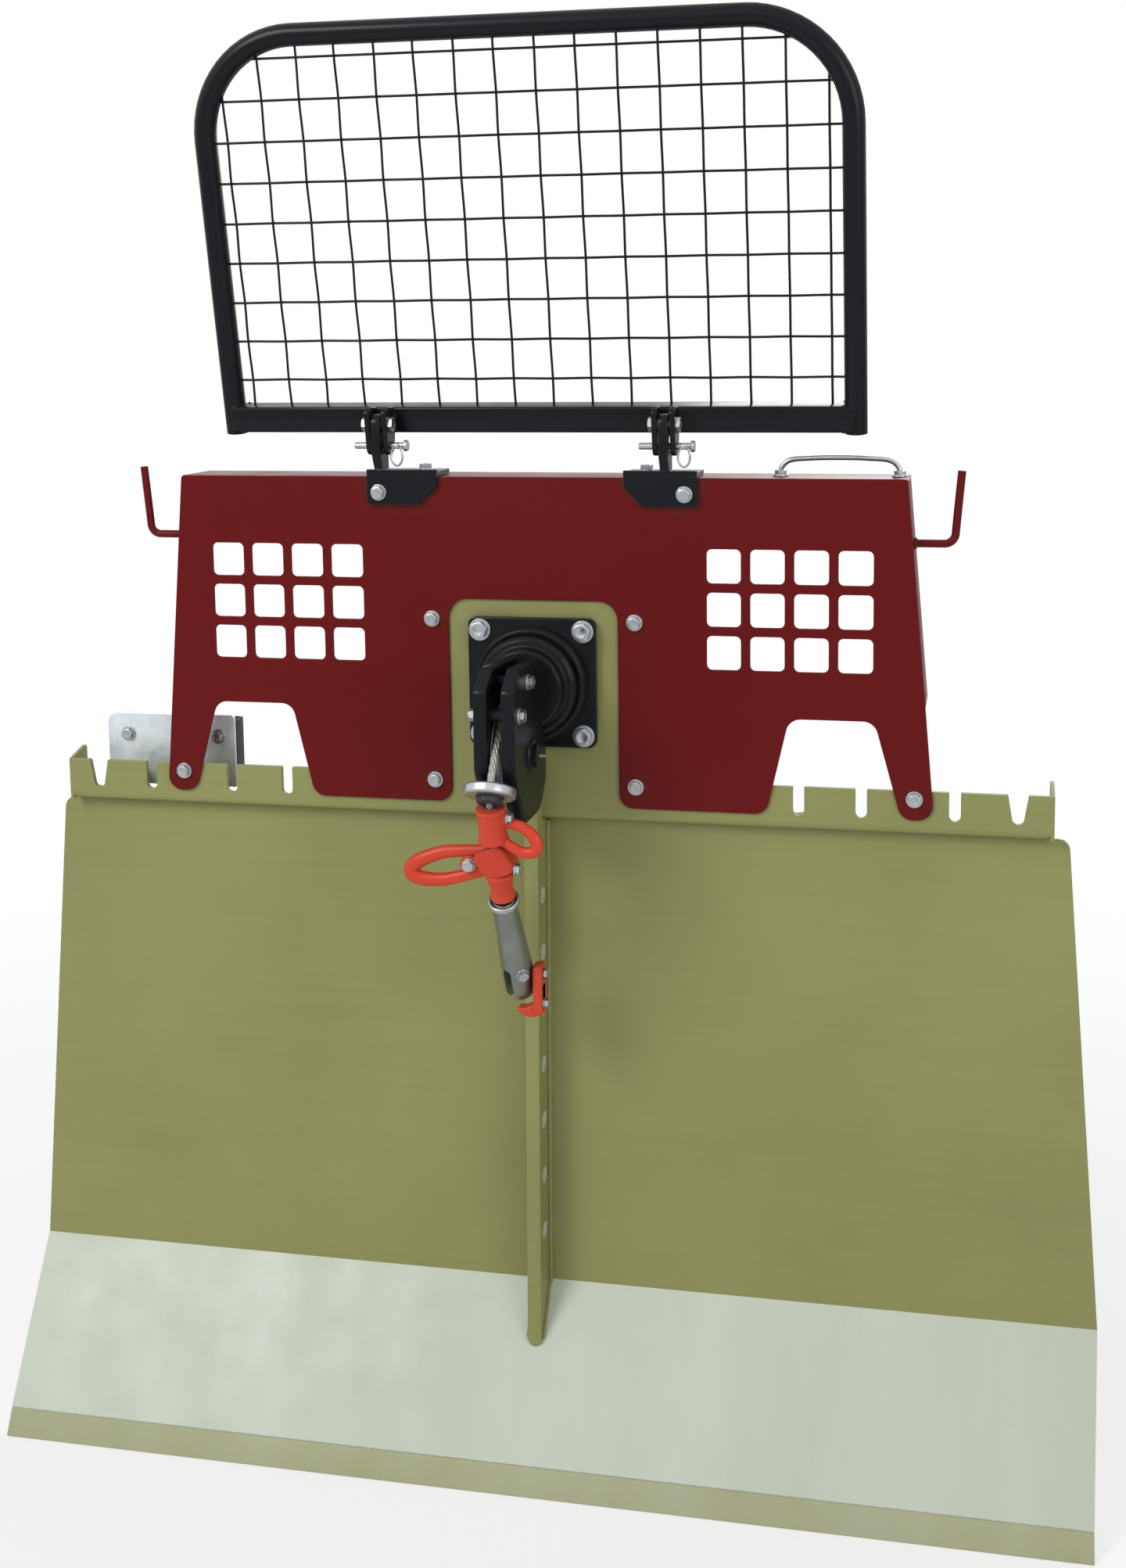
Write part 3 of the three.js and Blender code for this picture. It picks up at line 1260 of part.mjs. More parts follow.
// Crimped wires: every wire passes in front of one and behind the next
function makeNet() {
  const half = (wireThickness * Math.sqrt(Math.PI)) / 4;
  const around = half * Math.SQRT2;
  const crimp = half * 2 - wireBite;
  const firstX = -((meshColumns - 1) / 2) * meshPitch;
  const columns = Array.from({ length: meshColumns }, (_, i) => firstX + i * meshPitch);
  const rows = Array.from({ length: meshRows }, (_, i) => meshFirstV + i * meshPitch);
  const straight = guardTopV - guardCornerRadius;
  const cornerX = guardHalf - guardCornerRadius;
  const topAt = (x) => straight + Math.sqrt(guardCornerRadius ** 2 - Math.max(0, Math.abs(x) - cornerX) ** 2);
  const sideAt = (v) => cornerX + Math.sqrt(guardCornerRadius ** 2 - Math.max(0, v - straight) ** 2);
  const wires = [];
  columns.forEach((x, i) => {
    const crossings = rows.map((v, k) => [v, (i + k) % 2 ? crimp : -crimp]).filter(([v]) => v < topAt(x));
    wires.push(pipe([
      onGuard(x, 0), ...crossings.map(([v, out]) => onGuard(x, v, out)), onGuard(x, topAt(x)),
    ], around, 4));
  });
  rows.forEach((v) => {
    wires.push(pipe([onGuard(-sideAt(v), v), onGuard(sideAt(v), v)], around, 4, guardOut));
  });
  const frameSpace = pipe(guardRoute(), (guardTubeRadius + seat) / Math.cos(Math.PI / 8), 8);
  const barSpace = guardSheet(square(crossTube / 2 + seat), -guardHalf - overrun, guardHalf + overrun);
  add('guard_mesh', cut(join(...wires), frameSpace, barSpace), black);
}

// Brackets on the cover: an angle plate and a lug with an open seat for the lock pin
function makeBrackets() {
  const face = coverTopZ + seat;
  for (const [side, x, sign] of clevisPlaces) {
    const inner = sign * bracketInner;
    const outer = sign * bracketOuter;
    const front = frontSheet(rounded([
      [inner, bracketTopZ], [inner, bracketFootZ + bracketChamfer], [inner + sign * bracketChamfer, bracketFootZ],
      [outer, bracketFootZ, bracketChamfer / 4], [outer, bracketTopZ],
    ]), -seat - bracketThickness, bracketThickness);
    const top = block(
      Math.min(inner, outer), Math.max(inner, outer), -seat - bracketThickness / 2, bracketDepth, face, face + bracketThickness,
    );
    const py = pivotPlace.y;
    const pz = pivotPlace.z;
    const notchY = lockPlace.y - lockRadius - running;
    const notchZ = lockPlace.z - lockRadius - running;
    const r = pivotRadius + lugMargin;
    const lug = rounded([
      [-seat - bracketThickness / 2, face + bite], [-seat - bracketThickness / 2, face + bracketThickness],
      [py - r, notchZ - lockRadius, lugMargin], [py - r, pz + r, r], [py + r, pz + r, r], [py + r, pz - r, r],
      [notchY, pz - r * 1.2], [notchY, notchZ], [py + r * 1.6, notchZ], [py + r * 1.6, face + bite],
    ]);
    lug.holes.push(disc(py, pz, pivotRadius + running));
    const half = tongueThickness / 2;
    const carrier = join(front, top, sideSheet(lug, x - half, x + half, 3));
    const shankPlace = at(sign * bracketBoltX, -seat - bracketThickness, bracketBoltZ);
    add(`guard_bracket_${side}`, join(
      carrier, bolt(smallBolt, shankPlace, Y, bracketThickness + coverSheet + smallBolt.headHeight),
      bolt(smallBolt, at(sign * (bracketInner + bracketChamfer), bracketDepth / 2, face + bracketThickness), Z.clone().negate(), bracketThickness / 2),
    ), black);
  }
}

// Hanging rope end with what rides on it
const onRope = (y, z) => at(0, y, z);
const ropeEndPoints = [
  [-227, 1150], [-252, 1111], [-250, 1072], [-235, 1032], [-214, 991], [-199, 960], [-191, 938],
];

function ropeEndRoute() {
  const leave = overPulley(headPulleyY, headPulleyZ, 180 - ropeLeaveAngle, 180 - ropeLeaveAngle, 1)[0];
  const angle = radians(ropeLeaveAngle);
  const along = at(0, -Math.sin(angle), -Math.cos(angle));
  const start = leave.clone().addScaledVector(along, running);
  return smooth([start, ...ropeEndPoints.map(([y, z]) => onRope(y, z))], 12);
}

function makeEndPieces() {
  add('rope_end', pipe(ropeEndRoute(), ropeRadius, 8), wireRope, head);
  const passage = pipe(ropeEndRoute(), ropeRadius + rideClearance, 10);
  const discAxis = at(0, -Math.sin(radians(discLean)), -Math.cos(radians(discLean)));
  const discTop = onRope(...discPlace).addScaledVector(discAxis, -discThickness / 2);
  add('stop_disc', cut(turnedAlong([
    [0, 0], [discRadius - discThickness / 3, 0], [discRadius, discThickness / 3],
    [discRadius, discThickness - discThickness / 3], [discRadius - discThickness / 3, discThickness],
    [0, discThickness],
  ], discTop, discAxis, 20), passage), zinc, head);

  const sleeve = (from, to, radius, endRadius) => {
    const a = onRope(...from);
    const b = onRope(...to);
    const along = new THREE.Vector3().subVectors(b, a);
    const length = along.length();
    return turnedAlong([
      [0, 0], [radius - radius / 8, 0], [radius, radius / 6], [endRadius, length], [0, length],
    ], a, along, 12);
  };
  // A bent loop standing out to one side of a sleeve
  const loop = (sign, y, z, root, reach, rise, radius) => {
    const corner = rise;
    const route = [at(sign * root, y, z + rise)];
    for (let i = 0; i <= 6; i += 1) {
      const angle = Math.PI / 2 - (i / 6) * Math.PI;
      route.push(at(sign * (reach - corner + corner * Math.cos(angle)), y, z + rise * Math.sin(angle)));
    }
    route.push(at(sign * root, y, z - rise));
    return pipe(route, radius, 6);
  };
  const sideBolt = (sign, x, y, z) => bolt(smallBolt, at(sign * x, y, z), at(-sign, 0, 0), smallBolt.washer / 2);
  add('slider_upper', cut(join(
    sleeve(...upperSlider.axis, upperSlider.topRadius, upperSlider.footRadius),
    loop(1, upperSlider.y, upperSlider.z, upperSlider.root, upperSlider.reach, upperSlider.rise, upperSlider.wire),
    bolt(smallBolt, at(upperSlider.footRadius / 2, upperSlider.y - upperSlider.footRadius, upperSlider.z + upperSlider.rise / 4), Y, smallBolt.headHeight),
  ), passage), orangeRed, head);
  add('slider_lower', cut(join(
    sleeve(...lowerSlider.axis, lowerSlider.topRadius, lowerSlider.footRadius),
    loop(-1, lowerSlider.y, lowerSlider.z, lowerSlider.root, lowerSlider.reach, lowerSlider.rise, lowerSlider.wire),
    block(
      -lowerSlider.topRadius, lowerSlider.topRadius * 1.1, lowerSlider.y - lowerSlider.topRadius,
      lowerSlider.y + lowerSlider.topRadius / 2, lowerSlider.z - lowerSlider.rise / 2, lowerSlider.z + lowerSlider.rise,
    ),
    sideBolt(1, lowerSlider.topRadius * 1.1, lowerSlider.y, lowerSlider.z),
  ), passage), orangeRed, head);
  const ropeEnd = ropeEndRoute().at(-1);
  const lean = at(0, hook.foot[0] - ropeEnd.y, hook.foot[1] - ropeEnd.z).normalize();
  const top = ropeEnd.clone().addScaledVector(lean, running * 2);
  const foot = onRope(...hook.foot);
  const along = new THREE.Vector3().subVectors(foot, top);
  const length = along.length();
  const shell = turnedAlong([
    [0, 0], [hook.collar, 0], [hook.collar, hook.collarDepth], [hook.topRadius, hook.collarDepth],
    [hook.footRadius, length * 0.8], [hook.footRadius * 0.96, length * 0.94], [hook.footRadius * 0.7, length], [0, length],
  ], top, along, 16);
  const unit = along.clone().normalize();
  const frontward = new THREE.Vector3().crossVectors(X, unit).normalize();
  const slotCenter = top.clone().addScaledVector(unit, length * hookSlotShare);
  const slot = rod(hook.slotHalf, slotCenter.clone().addScaledVector(frontward, -hook.footRadius * 2), slotCenter.clone().addScaledVector(frontward, hook.footRadius * 2), 10);
  const slotLow = slot.clone().translate(0, unit.y * hook.slotLength, unit.z * hook.slotLength);
  const slotMiddle = rod(hook.slotHalf, slotCenter, slotCenter.clone().addScaledVector(unit, hook.slotLength), 10);
  const latchPlace = slotCenter.clone().addScaledVector(unit, hook.slotLength * 1.5);
  add('end_hook', join(
    cut(shell, slot, slotLow, slotMiddle),
    rod(latch.hole - running, latchPlace.clone().add(at(hook.slotHalf, 0, 0)),
      latchPlace.clone().add(at(hook.footRadius + seat * 2 + latch.thickness, 0, 0)), 10),
    bolt(smallBolt, slotCenter.clone().add(at(hook.footRadius * 0.9, 0, 0)), X.clone().negate(), smallBolt.washer),
  ), grayIron, head);
  add('hook_latch', cut(sideSheet(rounded([
    [latchPlace.y - latch.half, latchPlace.z + latch.half, latch.half / 2],
    [latchPlace.y + latch.half, latchPlace.z + latch.half, latch.half / 2],
    [latchPlace.y + latch.half * 1.4, latchPlace.z - latch.drop, latch.half / 2],
    [latchPlace.y - latch.half * 0.4, latchPlace.z - latch.drop, latch.half / 3],
  ]), hook.footRadius + seat, hook.footRadius + seat + latch.thickness),
  rod(latch.hole, at(hook.footRadius - overrun, latchPlace.y, latchPlace.z), at(hook.footRadius + latch.thickness * 2, latchPlace.y, latchPlace.z), 8)), orangeRed, head);
}

makeBlade();
makeHitchBar();
makeRail();
makeCover();
makeSideHooks();
makeBowHandle();
makeSawHolder();
makeHeadMount();
makeHead();
add('head_pulley', pulley(headPulleyY, headPulleyZ), steel);
makeRopes();
makeDrum();
makeDrive();
makeFrame();
makePost();
makeLevers();
makeLinkage();
makeStand();
makePtoGuard();
makeGuard();
makeBrackets();
makeEndPieces();

export default part;
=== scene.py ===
import bpy
import bmesh
import json
from itertools import accumulate
from math import asin, atan2, ceil, cos, dist, pi, radians, sin, sqrt, tan, tau
from mathutils import Matrix, Vector
from mathutils.geometry import tessellate_polygon


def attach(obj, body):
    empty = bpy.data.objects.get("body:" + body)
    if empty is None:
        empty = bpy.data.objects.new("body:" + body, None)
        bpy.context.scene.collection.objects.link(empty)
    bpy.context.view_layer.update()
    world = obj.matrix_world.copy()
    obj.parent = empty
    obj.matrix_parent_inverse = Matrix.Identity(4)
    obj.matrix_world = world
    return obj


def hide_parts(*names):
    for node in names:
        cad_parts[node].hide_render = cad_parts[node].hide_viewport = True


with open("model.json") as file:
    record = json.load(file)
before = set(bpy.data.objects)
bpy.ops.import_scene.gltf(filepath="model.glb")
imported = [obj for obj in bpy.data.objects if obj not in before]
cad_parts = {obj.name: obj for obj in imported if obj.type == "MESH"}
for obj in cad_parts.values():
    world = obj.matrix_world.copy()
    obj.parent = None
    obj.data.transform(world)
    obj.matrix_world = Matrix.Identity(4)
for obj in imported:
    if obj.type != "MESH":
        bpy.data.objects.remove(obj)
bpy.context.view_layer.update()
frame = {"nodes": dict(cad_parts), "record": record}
scene = bpy.context.scene
X, Y, Z = (1, 0, 0), (0, 1, 0), (0, 0, 1)
SIDES, HEAD = (("left", -1), ("right", 1)), "rope_head"
MM, COVER_Y = 0.001, 75


def P(x, y, z):
    """A place in metres from millimetres; Y counts from the front of the red cover, as in the CAD source."""
    return Vector((x * MM, (y - COVER_Y) * MM, z * MM))


def new_object(name, data):
    ob = bpy.data.objects.new(name, data)
    scene.collection.objects.link(ob)
    return ob


# --- camera: a pinhole solved from the photograph
YAW, PITCH, ROLL = 0.194009, 0.115948, -0.0089336
cam = new_object("camera", bpy.data.cameras.new("camera"))
scene.camera = cam
right = Vector((cos(YAW), sin(YAW), 0))
ahead = Vector((-sin(YAW) * cos(PITCH), cos(YAW) * cos(PITCH), -sin(PITCH)))
up = right.cross(ahead)
turn = Matrix((right * cos(ROLL) + up * sin(ROLL), up * cos(ROLL) - right * sin(ROLL), -ahead)).transposed()
cam.matrix_world = Matrix.Translation((0.660775, -2.656313, 1.729578)) @ turn.to_4x4()
cam.data.sensor_fit = "HORIZONTAL"
cam.data.sensor_width = 36
cam.data.lens = 56.73
cam.data.shift_x, cam.data.shift_y = -0.0603, -0.2086
cam.data.clip_end = 200
scene.view_settings.view_transform = "Standard"


# --- materials
class Nodes:
    """The node tree of a material or of the world."""

    def __init__(self, owner, shader="BSDF_PRINCIPLED"):
        owner.use_nodes = True
        self.tree, self.coord = owner.node_tree, None
        self.shader = next(n for n in self.tree.nodes if n.type == shader)

    def node(self, kind, **values):
        n = self.tree.nodes.new(kind)
        for key, value in values.items():
            if key in n.inputs:
                self.put(n.inputs[key], value)
            else:
                setattr(n, key, value)
        return n

    def put(self, socket, value):
        if isinstance(value, bpy.types.NodeSocket):
            self.tree.links.new(value, socket)
        else:
            socket.default_value = value

    def place(self):
        if self.coord is None:
            self.coord = self.node("ShaderNodeTexCoord").outputs["Object"]
        return self.coord

    def noise(self, scale, detail=3, rough=0.5, stretch=None):
        vector = self.place()
        if stretch:
            vector = self.node("ShaderNodeMapping", Vector=vector, Scale=stretch).outputs[0]
        return self.node("ShaderNodeTexNoise", Vector=vector, Scale=scale, Detail=detail, Roughness=rough).outputs[0]

    def span(self, value, a, b, c=0, d=1):
        ends = {"From Min": a, "From Max": b, "To Min": c, "To Max": d}
        return self.node("ShaderNodeMapRange", Value=value, **ends).outputs[0]

    def math(self, kind, a, b):
        n = self.node("ShaderNodeMath", operation=kind)
        self.put(n.inputs[0], a)
        self.put(n.inputs[1], b)
        return n.outputs[0]

    def times(self, a, b):
        return self.math("MULTIPLY", a, b)

    def mix(self, share, a, b):
        n = self.node("ShaderNodeMix", data_type="RGBA")
        self.put(n.inputs[0], share)
        for socket, value in ((n.inputs[6], a), (n.inputs[7], b)):
            self.put(socket, (*value, 1) if isinstance(value, tuple) else value)
        return n.outputs[2]

    def edges(self, radius):
        """How much a place lies on an edge."""
        dot = self.node("ShaderNodeVectorMath", operation="DOT_PRODUCT")
        self.put(dot.inputs[0], self.node("ShaderNodeBevel", samples=4, Radius=radius).outputs[0])
        self.put(dot.inputs[1], self.node("ShaderNodeNewGeometry").outputs["Normal"])
        return self.span(dot.outputs["Value"], 0.985, 0.80)

    def corner_shade(self, distance, low=0.25, high=0.85):
        """How much a place lies in a corner, from ambient occlusion; the materials use it as painted shade."""
        shadow = self.node("ShaderNodeAmbientOcclusion", samples=4, Distance=distance)
        return self.span(shadow.outputs["AO"], high, low)

    def bump(self, height, strength, distance, **below):
        return self.node("ShaderNodeBump", Height=height, Strength=strength, Distance=distance, **below).outputs[0]

    def finish(self, color, rough, normal, **plain):
        for key, value in {"Base Color": color, "Roughness": rough, "Normal": normal, **plain}.items():
            self.put(self.shader.inputs[key], value)


M = {}


def material(name):
    M[name] = bpy.data.materials.new(name)
    return Nodes(M[name])


def shade(color, factor):
    return tuple(min(1, c * factor) for c in color)


def painted(name, color, rough, worn, wear=0.5, dirt_and_shade=(0.10, 0.085, 0.055), streak=0.10, gloss=0.3):
    """Sprayed paint: cloudy tone, faint vertical and brushed streaks, dirt and painted shade in the corners, orange
    peel, chips along edges.
    """
    n = material(name)
    tone = n.mix(n.span(n.noise(3.2, 4), 0.3, 0.7), shade(color, 0.93), shade(color, 1.06))
    strokes = n.span(n.noise(7, 5, 0.6, stretch=(0.5, 1, 16)), 0.25, 0.75)
    tone = n.mix(n.times(strokes, streak), tone, shade(color, 1.45))
    # corners darkened toward the dirt colour by ambient occlusion times noise: partly dirt, partly painted shade
    grime_and_shade = n.times(n.corner_shade(0.018), n.span(n.noise(26, 5), 0.35, 0.7, 0.1, 0.75))
    tone = n.mix(grime_and_shade, tone, dirt_and_shade)
    chips = n.times(n.edges(0.0016), n.span(n.noise(70, 6, 0.65), 0.50, 0.58, 0, wear))
    spots = n.span(n.noise(14, 6, 0.6), 0.3, 0.75, rough * 0.82, rough * 1.2)
    peel = n.bump(n.noise(110, 3), 0.10, 0.0008, Normal=n.bump(n.noise(900, 2), 0.10, 0.00012))
    n.finish(n.mix(chips, tone, worn), n.math("ADD", spots, n.times(grime_and_shade, 0.25)), peel,
            **{"Specular IOR Level": gloss})


def metallic(name, color, rough, stain_and_shade, metal=0.9, cells=0, grain=0.12, grime_and_shade=0.6, grime_and_shade_reach=0.006):
    """Bare or plated metal: spangled or brushed tone, uneven sheen, grime and painted shade in the corners."""
    n = material(name)
    tone = n.mix(n.span(n.noise(24, 5, 0.6), 0.3, 0.7), shade(color, 0.86), shade(color, 1.10))
    if cells:
        voronoi = n.node("ShaderNodeTexVoronoi", Vector=n.place(), Scale=cells)
        tone = n.mix(n.span(voronoi.outputs["Color"], 0, 1, 0, 0.22), tone, shade(color, 0.6))
    # corners darkened toward the stain colour by ambient occlusion times noise: partly stains, partly painted shade
    spots = n.times(n.corner_shade(grime_and_shade_reach), n.span(n.noise(140, 4), 0.3, 0.65, 0.15, grime_and_shade))
    n.finish(n.mix(spots, tone, stain_and_shade), n.span(n.noise(60, 6, 0.6), 0.3, 0.7, rough * 0.75, rough * 1.3),
            n.bump(n.noise(520, 4), grain, 0.0003), Metallic=metal)


def rope_steel(name):
    """Single wires that run along the rope, with dark grease and painted shade between the strands."""
    n = material(name)
    uv = n.node("ShaderNodeUVMap", uv_map="lay").outputs[0]
    lay = n.node("ShaderNodeTexWave", Vector=uv, Scale=14, Distortion=0.6, Detail=2, bands_direction="X")
    wires = lay.outputs["Fac"]
    tone = n.mix(wires, (0.20, 0.20, 0.19), (0.62, 0.63, 0.62))
    # grooves between the strands darkened by ambient occlusion: partly grease, partly painted shade
    tone = n.mix(n.times(n.corner_shade(0.0025, 0.5, 1), 0.85), tone, (0.030, 0.026, 0.020))
    n.finish(tone, n.span(n.noise(200, 3), 0.3, 0.7, 0.28, 0.5), n.bump(wires, 0.5, 0.0005), Metallic=0.8)


def moulded(name, color, rough):
    """Grained plastic with dust and painted shade in its hollows."""
    n = material(name)
    tone = n.mix(n.span(n.noise(9, 4), 0.3, 0.7), shade(color, 0.8), shade(color, 1.3))
    # hollows darkened by ambient occlusion: partly dust, partly painted shade
    tone = n.mix(n.times(n.corner_shade(0.02), 0.35), tone, (0.12, 0.11, 0.095))
    grain = n.node("ShaderNodeTexVoronoi", Vector=n.place(), Scale=900).outputs["Distance"]
    n.finish(tone, n.span(n.noise(40, 4), 0.3, 0.7, rough * 0.85, rough * 1.15), n.bump(grain, 0.25, 0.0003))


def worn_paint(name, color, bare, share):
    """Paint rubbed thin by dragged logs: bare metal shows in broad soft streaks."""
    n = material(name)
    drag = n.span(n.noise(2.6, 6, 0.62, stretch=(2.2, 0.6, 0.6)), 0.35, 0.7)
    tone = n.mix(n.times(drag, share), shade(color, 0.97), bare)
    scratches = n.span(n.noise(30, 6, 0.7, stretch=(6, 1, 0.6)), 0.60, 0.68, 0, 0.10)
    tone = n.mix(scratches, tone, shade(bare, 1.15))
    chips = n.times(n.edges(0.002), n.span(n.noise(60, 5), 0.45, 0.58, 0, 0.6))
    n.finish(n.mix(chips, tone, (0.36, 0.35, 0.31)), n.span(n.noise(12, 6, 0.6), 0.3, 0.7, 0.34, 0.55),
            n.bump(n.noise(160, 4), 0.10, 0.0006))


painted("olive_paint", (0.262, 0.270, 0.098), 0.42, (0.42, 0.41, 0.33), 0.55)
# the lip's pale tone is partly its own worn paint, partly a painted reflection of the bright sky on its upturned face
worn_paint("lip_paint", (0.53, 0.58, 0.475), (0.60, 0.64, 0.56), 0.7)
worn_paint("edge_paint", (0.375, 0.388, 0.212), (0.46, 0.475, 0.35), 0.5)
painted("red_paint", (0.130, 0.0062, 0.0070), 0.32, (0.30, 0.13, 0.11), 0.4, streak=0.03, gloss=0.12)
painted("orange_red_paint", (0.62, 0.052, 0.022), 0.36, (0.42, 0.30, 0.26), 0.7, streak=0.02, gloss=0.3)
# black paint's edge chips are light grey: partly wear, partly a painted highlight along the rims
painted("black_paint", (0.0065, 0.0080, 0.0105), 0.27, (0.22, 0.225, 0.23), 0.55, dirt_and_shade=(0.028, 0.027, 0.023),
        streak=0.01, gloss=0.17)
metallic("zinc", (0.50, 0.525, 0.55), 0.30, (0.13, 0.12, 0.10), cells=160, grime_and_shade=0.9, grime_and_shade_reach=0.005)
metallic("hook_steel", (0.27, 0.285, 0.27), 0.36, (0.05, 0.045, 0.035), metal=0.8, cells=70, grain=0.5, grime_and_shade=0.9,
        grime_and_shade_reach=0.012)
# near-white base colour: partly the plating's pale tone, partly painted light that makes up for the shade behind the
# cover
metallic("galvanised", (0.83, 0.90, 0.99), 0.42, (0.30, 0.30, 0.28), metal=0.55, cells=90)
metallic("bare_steel", (0.36, 0.37, 0.375), 0.38, (0.07, 0.052, 0.035))
rope_steel("wire_rope")
metallic("cast_iron", (0.40, 0.405, 0.385), 0.5, (0.09, 0.075, 0.055), metal=0.65, grain=0.45)
moulded("plastic", (0.014, 0.014, 0.015), 0.55)


# --- outlines: lists of (u, v) or (u, v, fillet radius) in mm
def steps(start, length, n):
    return [start + length * i / n for i in range(n + 1)]


def rect(u0, v0, u1, v1, r=0):
    return [(u0, v0, r), (u1, v0, r), (u1, v1, r), (u0, v1, r)]


def mirrored(half):
    return [(-x, *rest) for x, *rest in reversed(half)]


def around(n, r, first=0):
    """Places round a middle, the first one that many steps further round."""
    return [(r * cos(a), r * sin(a)) for a in (tau * (i + first) / n for i in range(n))]


def circle(u, v, r, n=32):
    return [(u + a, v + b) for a, b in around(n, r)]


def fillet(corners, seg=6):
    """The outline's points, with an arc at each corner that has a radius; seg pieces make a right angle."""
    pts = [Vector(c[:2]) for c in corners]
    out = []
    for i, corner in enumerate(corners):
        here, r = pts[i], (corner[2] if len(corner) > 2 else 0)
        if r <= 0:
            out.append(here)
            continue
        a, b = pts[i - 1] - here, pts[(i + 1) % len(pts)] - here
        half = a.angle(b) / 2
        reach = min(r / tan(half), a.length / 2, b.length / 2)
        a.normalize()
        b.normalize()
        rr = reach * tan(half)
        center = here + (a + b).normalized() * (rr / sin(half))
        p, q = here + a * reach - center, here + b * reach - center
        start = atan2(p.y, p.x)
        swing = (atan2(q.y, q.x) - start + pi) % tau - pi
        k = max(2, round(seg * abs(swing) / (pi / 2)))
        out += [center + Vector((cos(t), sin(t))) * rr for t in steps(start, swing, k)]
    return [(v.x, v.y) for v in out]


def turned(ring, ccw):
    area = sum(a[0] * b[1] - b[0] * a[1] for a, b in zip(ring, ring[1:] + ring[:1]))
    return ring if (area > 0) == ccw else ring[::-1]


def inward(ring):
    """For each point of a ring the step that moves both its sides inward by one."""
    out = []
    for i, p in enumerate(ring):
        q, r = ring[i - 1], ring[(i + 1) % len(ring)]
        e1, e2 = Vector((p[0] - q[0], p[1] - q[1])), Vector((r[0] - p[0], r[1] - p[1]))
        if e1.length < 1e-9 or e2.length < 1e-9:
            out.append((0, 0))
            continue
        e1.normalize()
        e2.normalize()
        m = (e1 + e2) / max(0.3, 1 + e1.dot(e2))
        out.append((-m.y, m.x))
    return out


# --- closed forms: each function gives points in metres and faces
def bands(n, rings, base=0, wrap=False):
    """The faces between rings of n points."""
    out = []
    for k in range(rings if wrap else rings - 1):
        low, high = base + k * n, base + (k + 1) % rings * n
        out += [(low + i, low + (i + 1) % n, high + (i + 1) % n, high + i) for i in range(n)]
    return out


def lofted(rings):
    """A form through rings of equally many points, with flat ends."""
    n, count = len(rings[0]), len(rings)
    ends = [tuple(range(n - 1, -1, -1)), tuple(range((count - 1) * n, count * n))]
    return [p for ring in rings for p in ring], bands(n, count) + ends


def sheet(outline, depth, place, holes=(), bevel=0.8, seg=6):
    """A sheet or bar of an outline with holes and rounded edges; place(u, v, w) gives its points."""
    b = min(bevel, depth * 0.4)
    rings = [turned(fillet(outline, seg), True)] + [turned(list(h), False) for h in holes]
    profile = [(b, 0), (0.3 * b, 0.3 * b), (0, b), (0, depth - b), (0.3 * b, depth - 0.3 * b), (b, depth)]
    verts, faces, low, high, flat = [], [], [], [], []
    for ring in rings:
        n, base, offs = len(ring), len(verts), inward(ring)
        for o, w in profile:
            verts += [place(p[0] + d[0] * o, p[1] + d[1] * o, w) for p, d in zip(ring, offs)]
        faces += bands(n, len(profile), base)
        low += range(base, base + n)
        high += range(base + 5 * n, base + 6 * n)
        flat.append([Vector((p[0] + d[0] * b, p[1] + d[1] * b, 0)) for p, d in zip(ring, offs)])
    for tri in tessellate_polygon(flat):
        faces += [tuple(low[i] for i in reversed(tri)), tuple(high[i] for i in tri)]
    return verts, faces


def front(y):
    return lambda u, v, w: P(u, y + w, v)


def side(x):
    return lambda u, v, w: P(x + w, u, v)


def top(z):
    return lambda u, v, w: P(u, v, z + w)


def axes(direction):
    """A direction and two more at right angles to it."""
    axis = Vector(direction).normalized()
    u = axis.orthogonal().normalized()
    return axis, u, axis.cross(u)


def lathe(profile, origin, direction, segs=48):
    """A closed profile of (radius, distance along the axis, fillet radius) turned about an axis."""
    pts = fillet(profile, 4)
    axis, u, v = axes(direction)
    origin, verts = P(*origin), []
    for a, b in around(segs, 1):
        out = u * a + v * b
        verts += [origin + (out * r + axis * t) * MM for r, t in pts]
    return verts, bands(len(pts), segs, wrap=True)


def tube(points, radius, sides=16, section=None, ends=0):
    """A bar swept along points in metres; radius in mm, a number or a list; ends rounds its ends."""
    pts = [Vector(p) for p in points]
    radii = list(radius) if hasattr(radius, "__len__") else [radius] * len(pts)
    if ends:
        first, last = (pts[0] - pts[1]).normalized(), (pts[-1] - pts[-2]).normalized()
        e = ends * MM
        pts = [pts[0] + first * e, pts[0] + first * e * 0.7, *pts, pts[-1] + last * e * 0.7, pts[-1] + last * e]
        radii = [radii[0] * 0.45, radii[0] * 0.85, *radii, radii[-1] * 0.85, radii[-1] * 0.45]
    rings, normal, run = [], None, 0
    for i, p in enumerate(pts):
        along = (pts[min(i + 1, len(pts) - 1)] - pts[max(i - 1, 0)]).normalized()
        if normal is None:
            normal = Vector(X if abs(along.x) < 0.9 else Z)
        normal = (normal - along * normal.dot(along)).normalized()
        other = along.cross(normal)
        run += (p - pts[i - 1]).length if i else 0
        ring = []
        for a in (tau * k / sides for k in range(sides)):
            fx, fy = section(a, run / MM, radii[i]) if section else (radii[i], radii[i])
            ring.append(p + (normal * cos(a) * fx + other * sin(a) * fy) * MM)
        rings.append(ring)
    return lofted(rings)


def rod(radius, a, b, sides=24, bevel=0.8):
    """A turned rod between two places in mm, with its edges broken."""
    a, b = Vector(a), Vector(b)
    n = (b - a).length
    e = min(bevel, n * 0.3, radius * 0.4)
    return lathe([(0, 0), (radius - e, 0), (radius, e), (radius, n - e), (radius - e, n), (0, n)], a, b - a, sides)


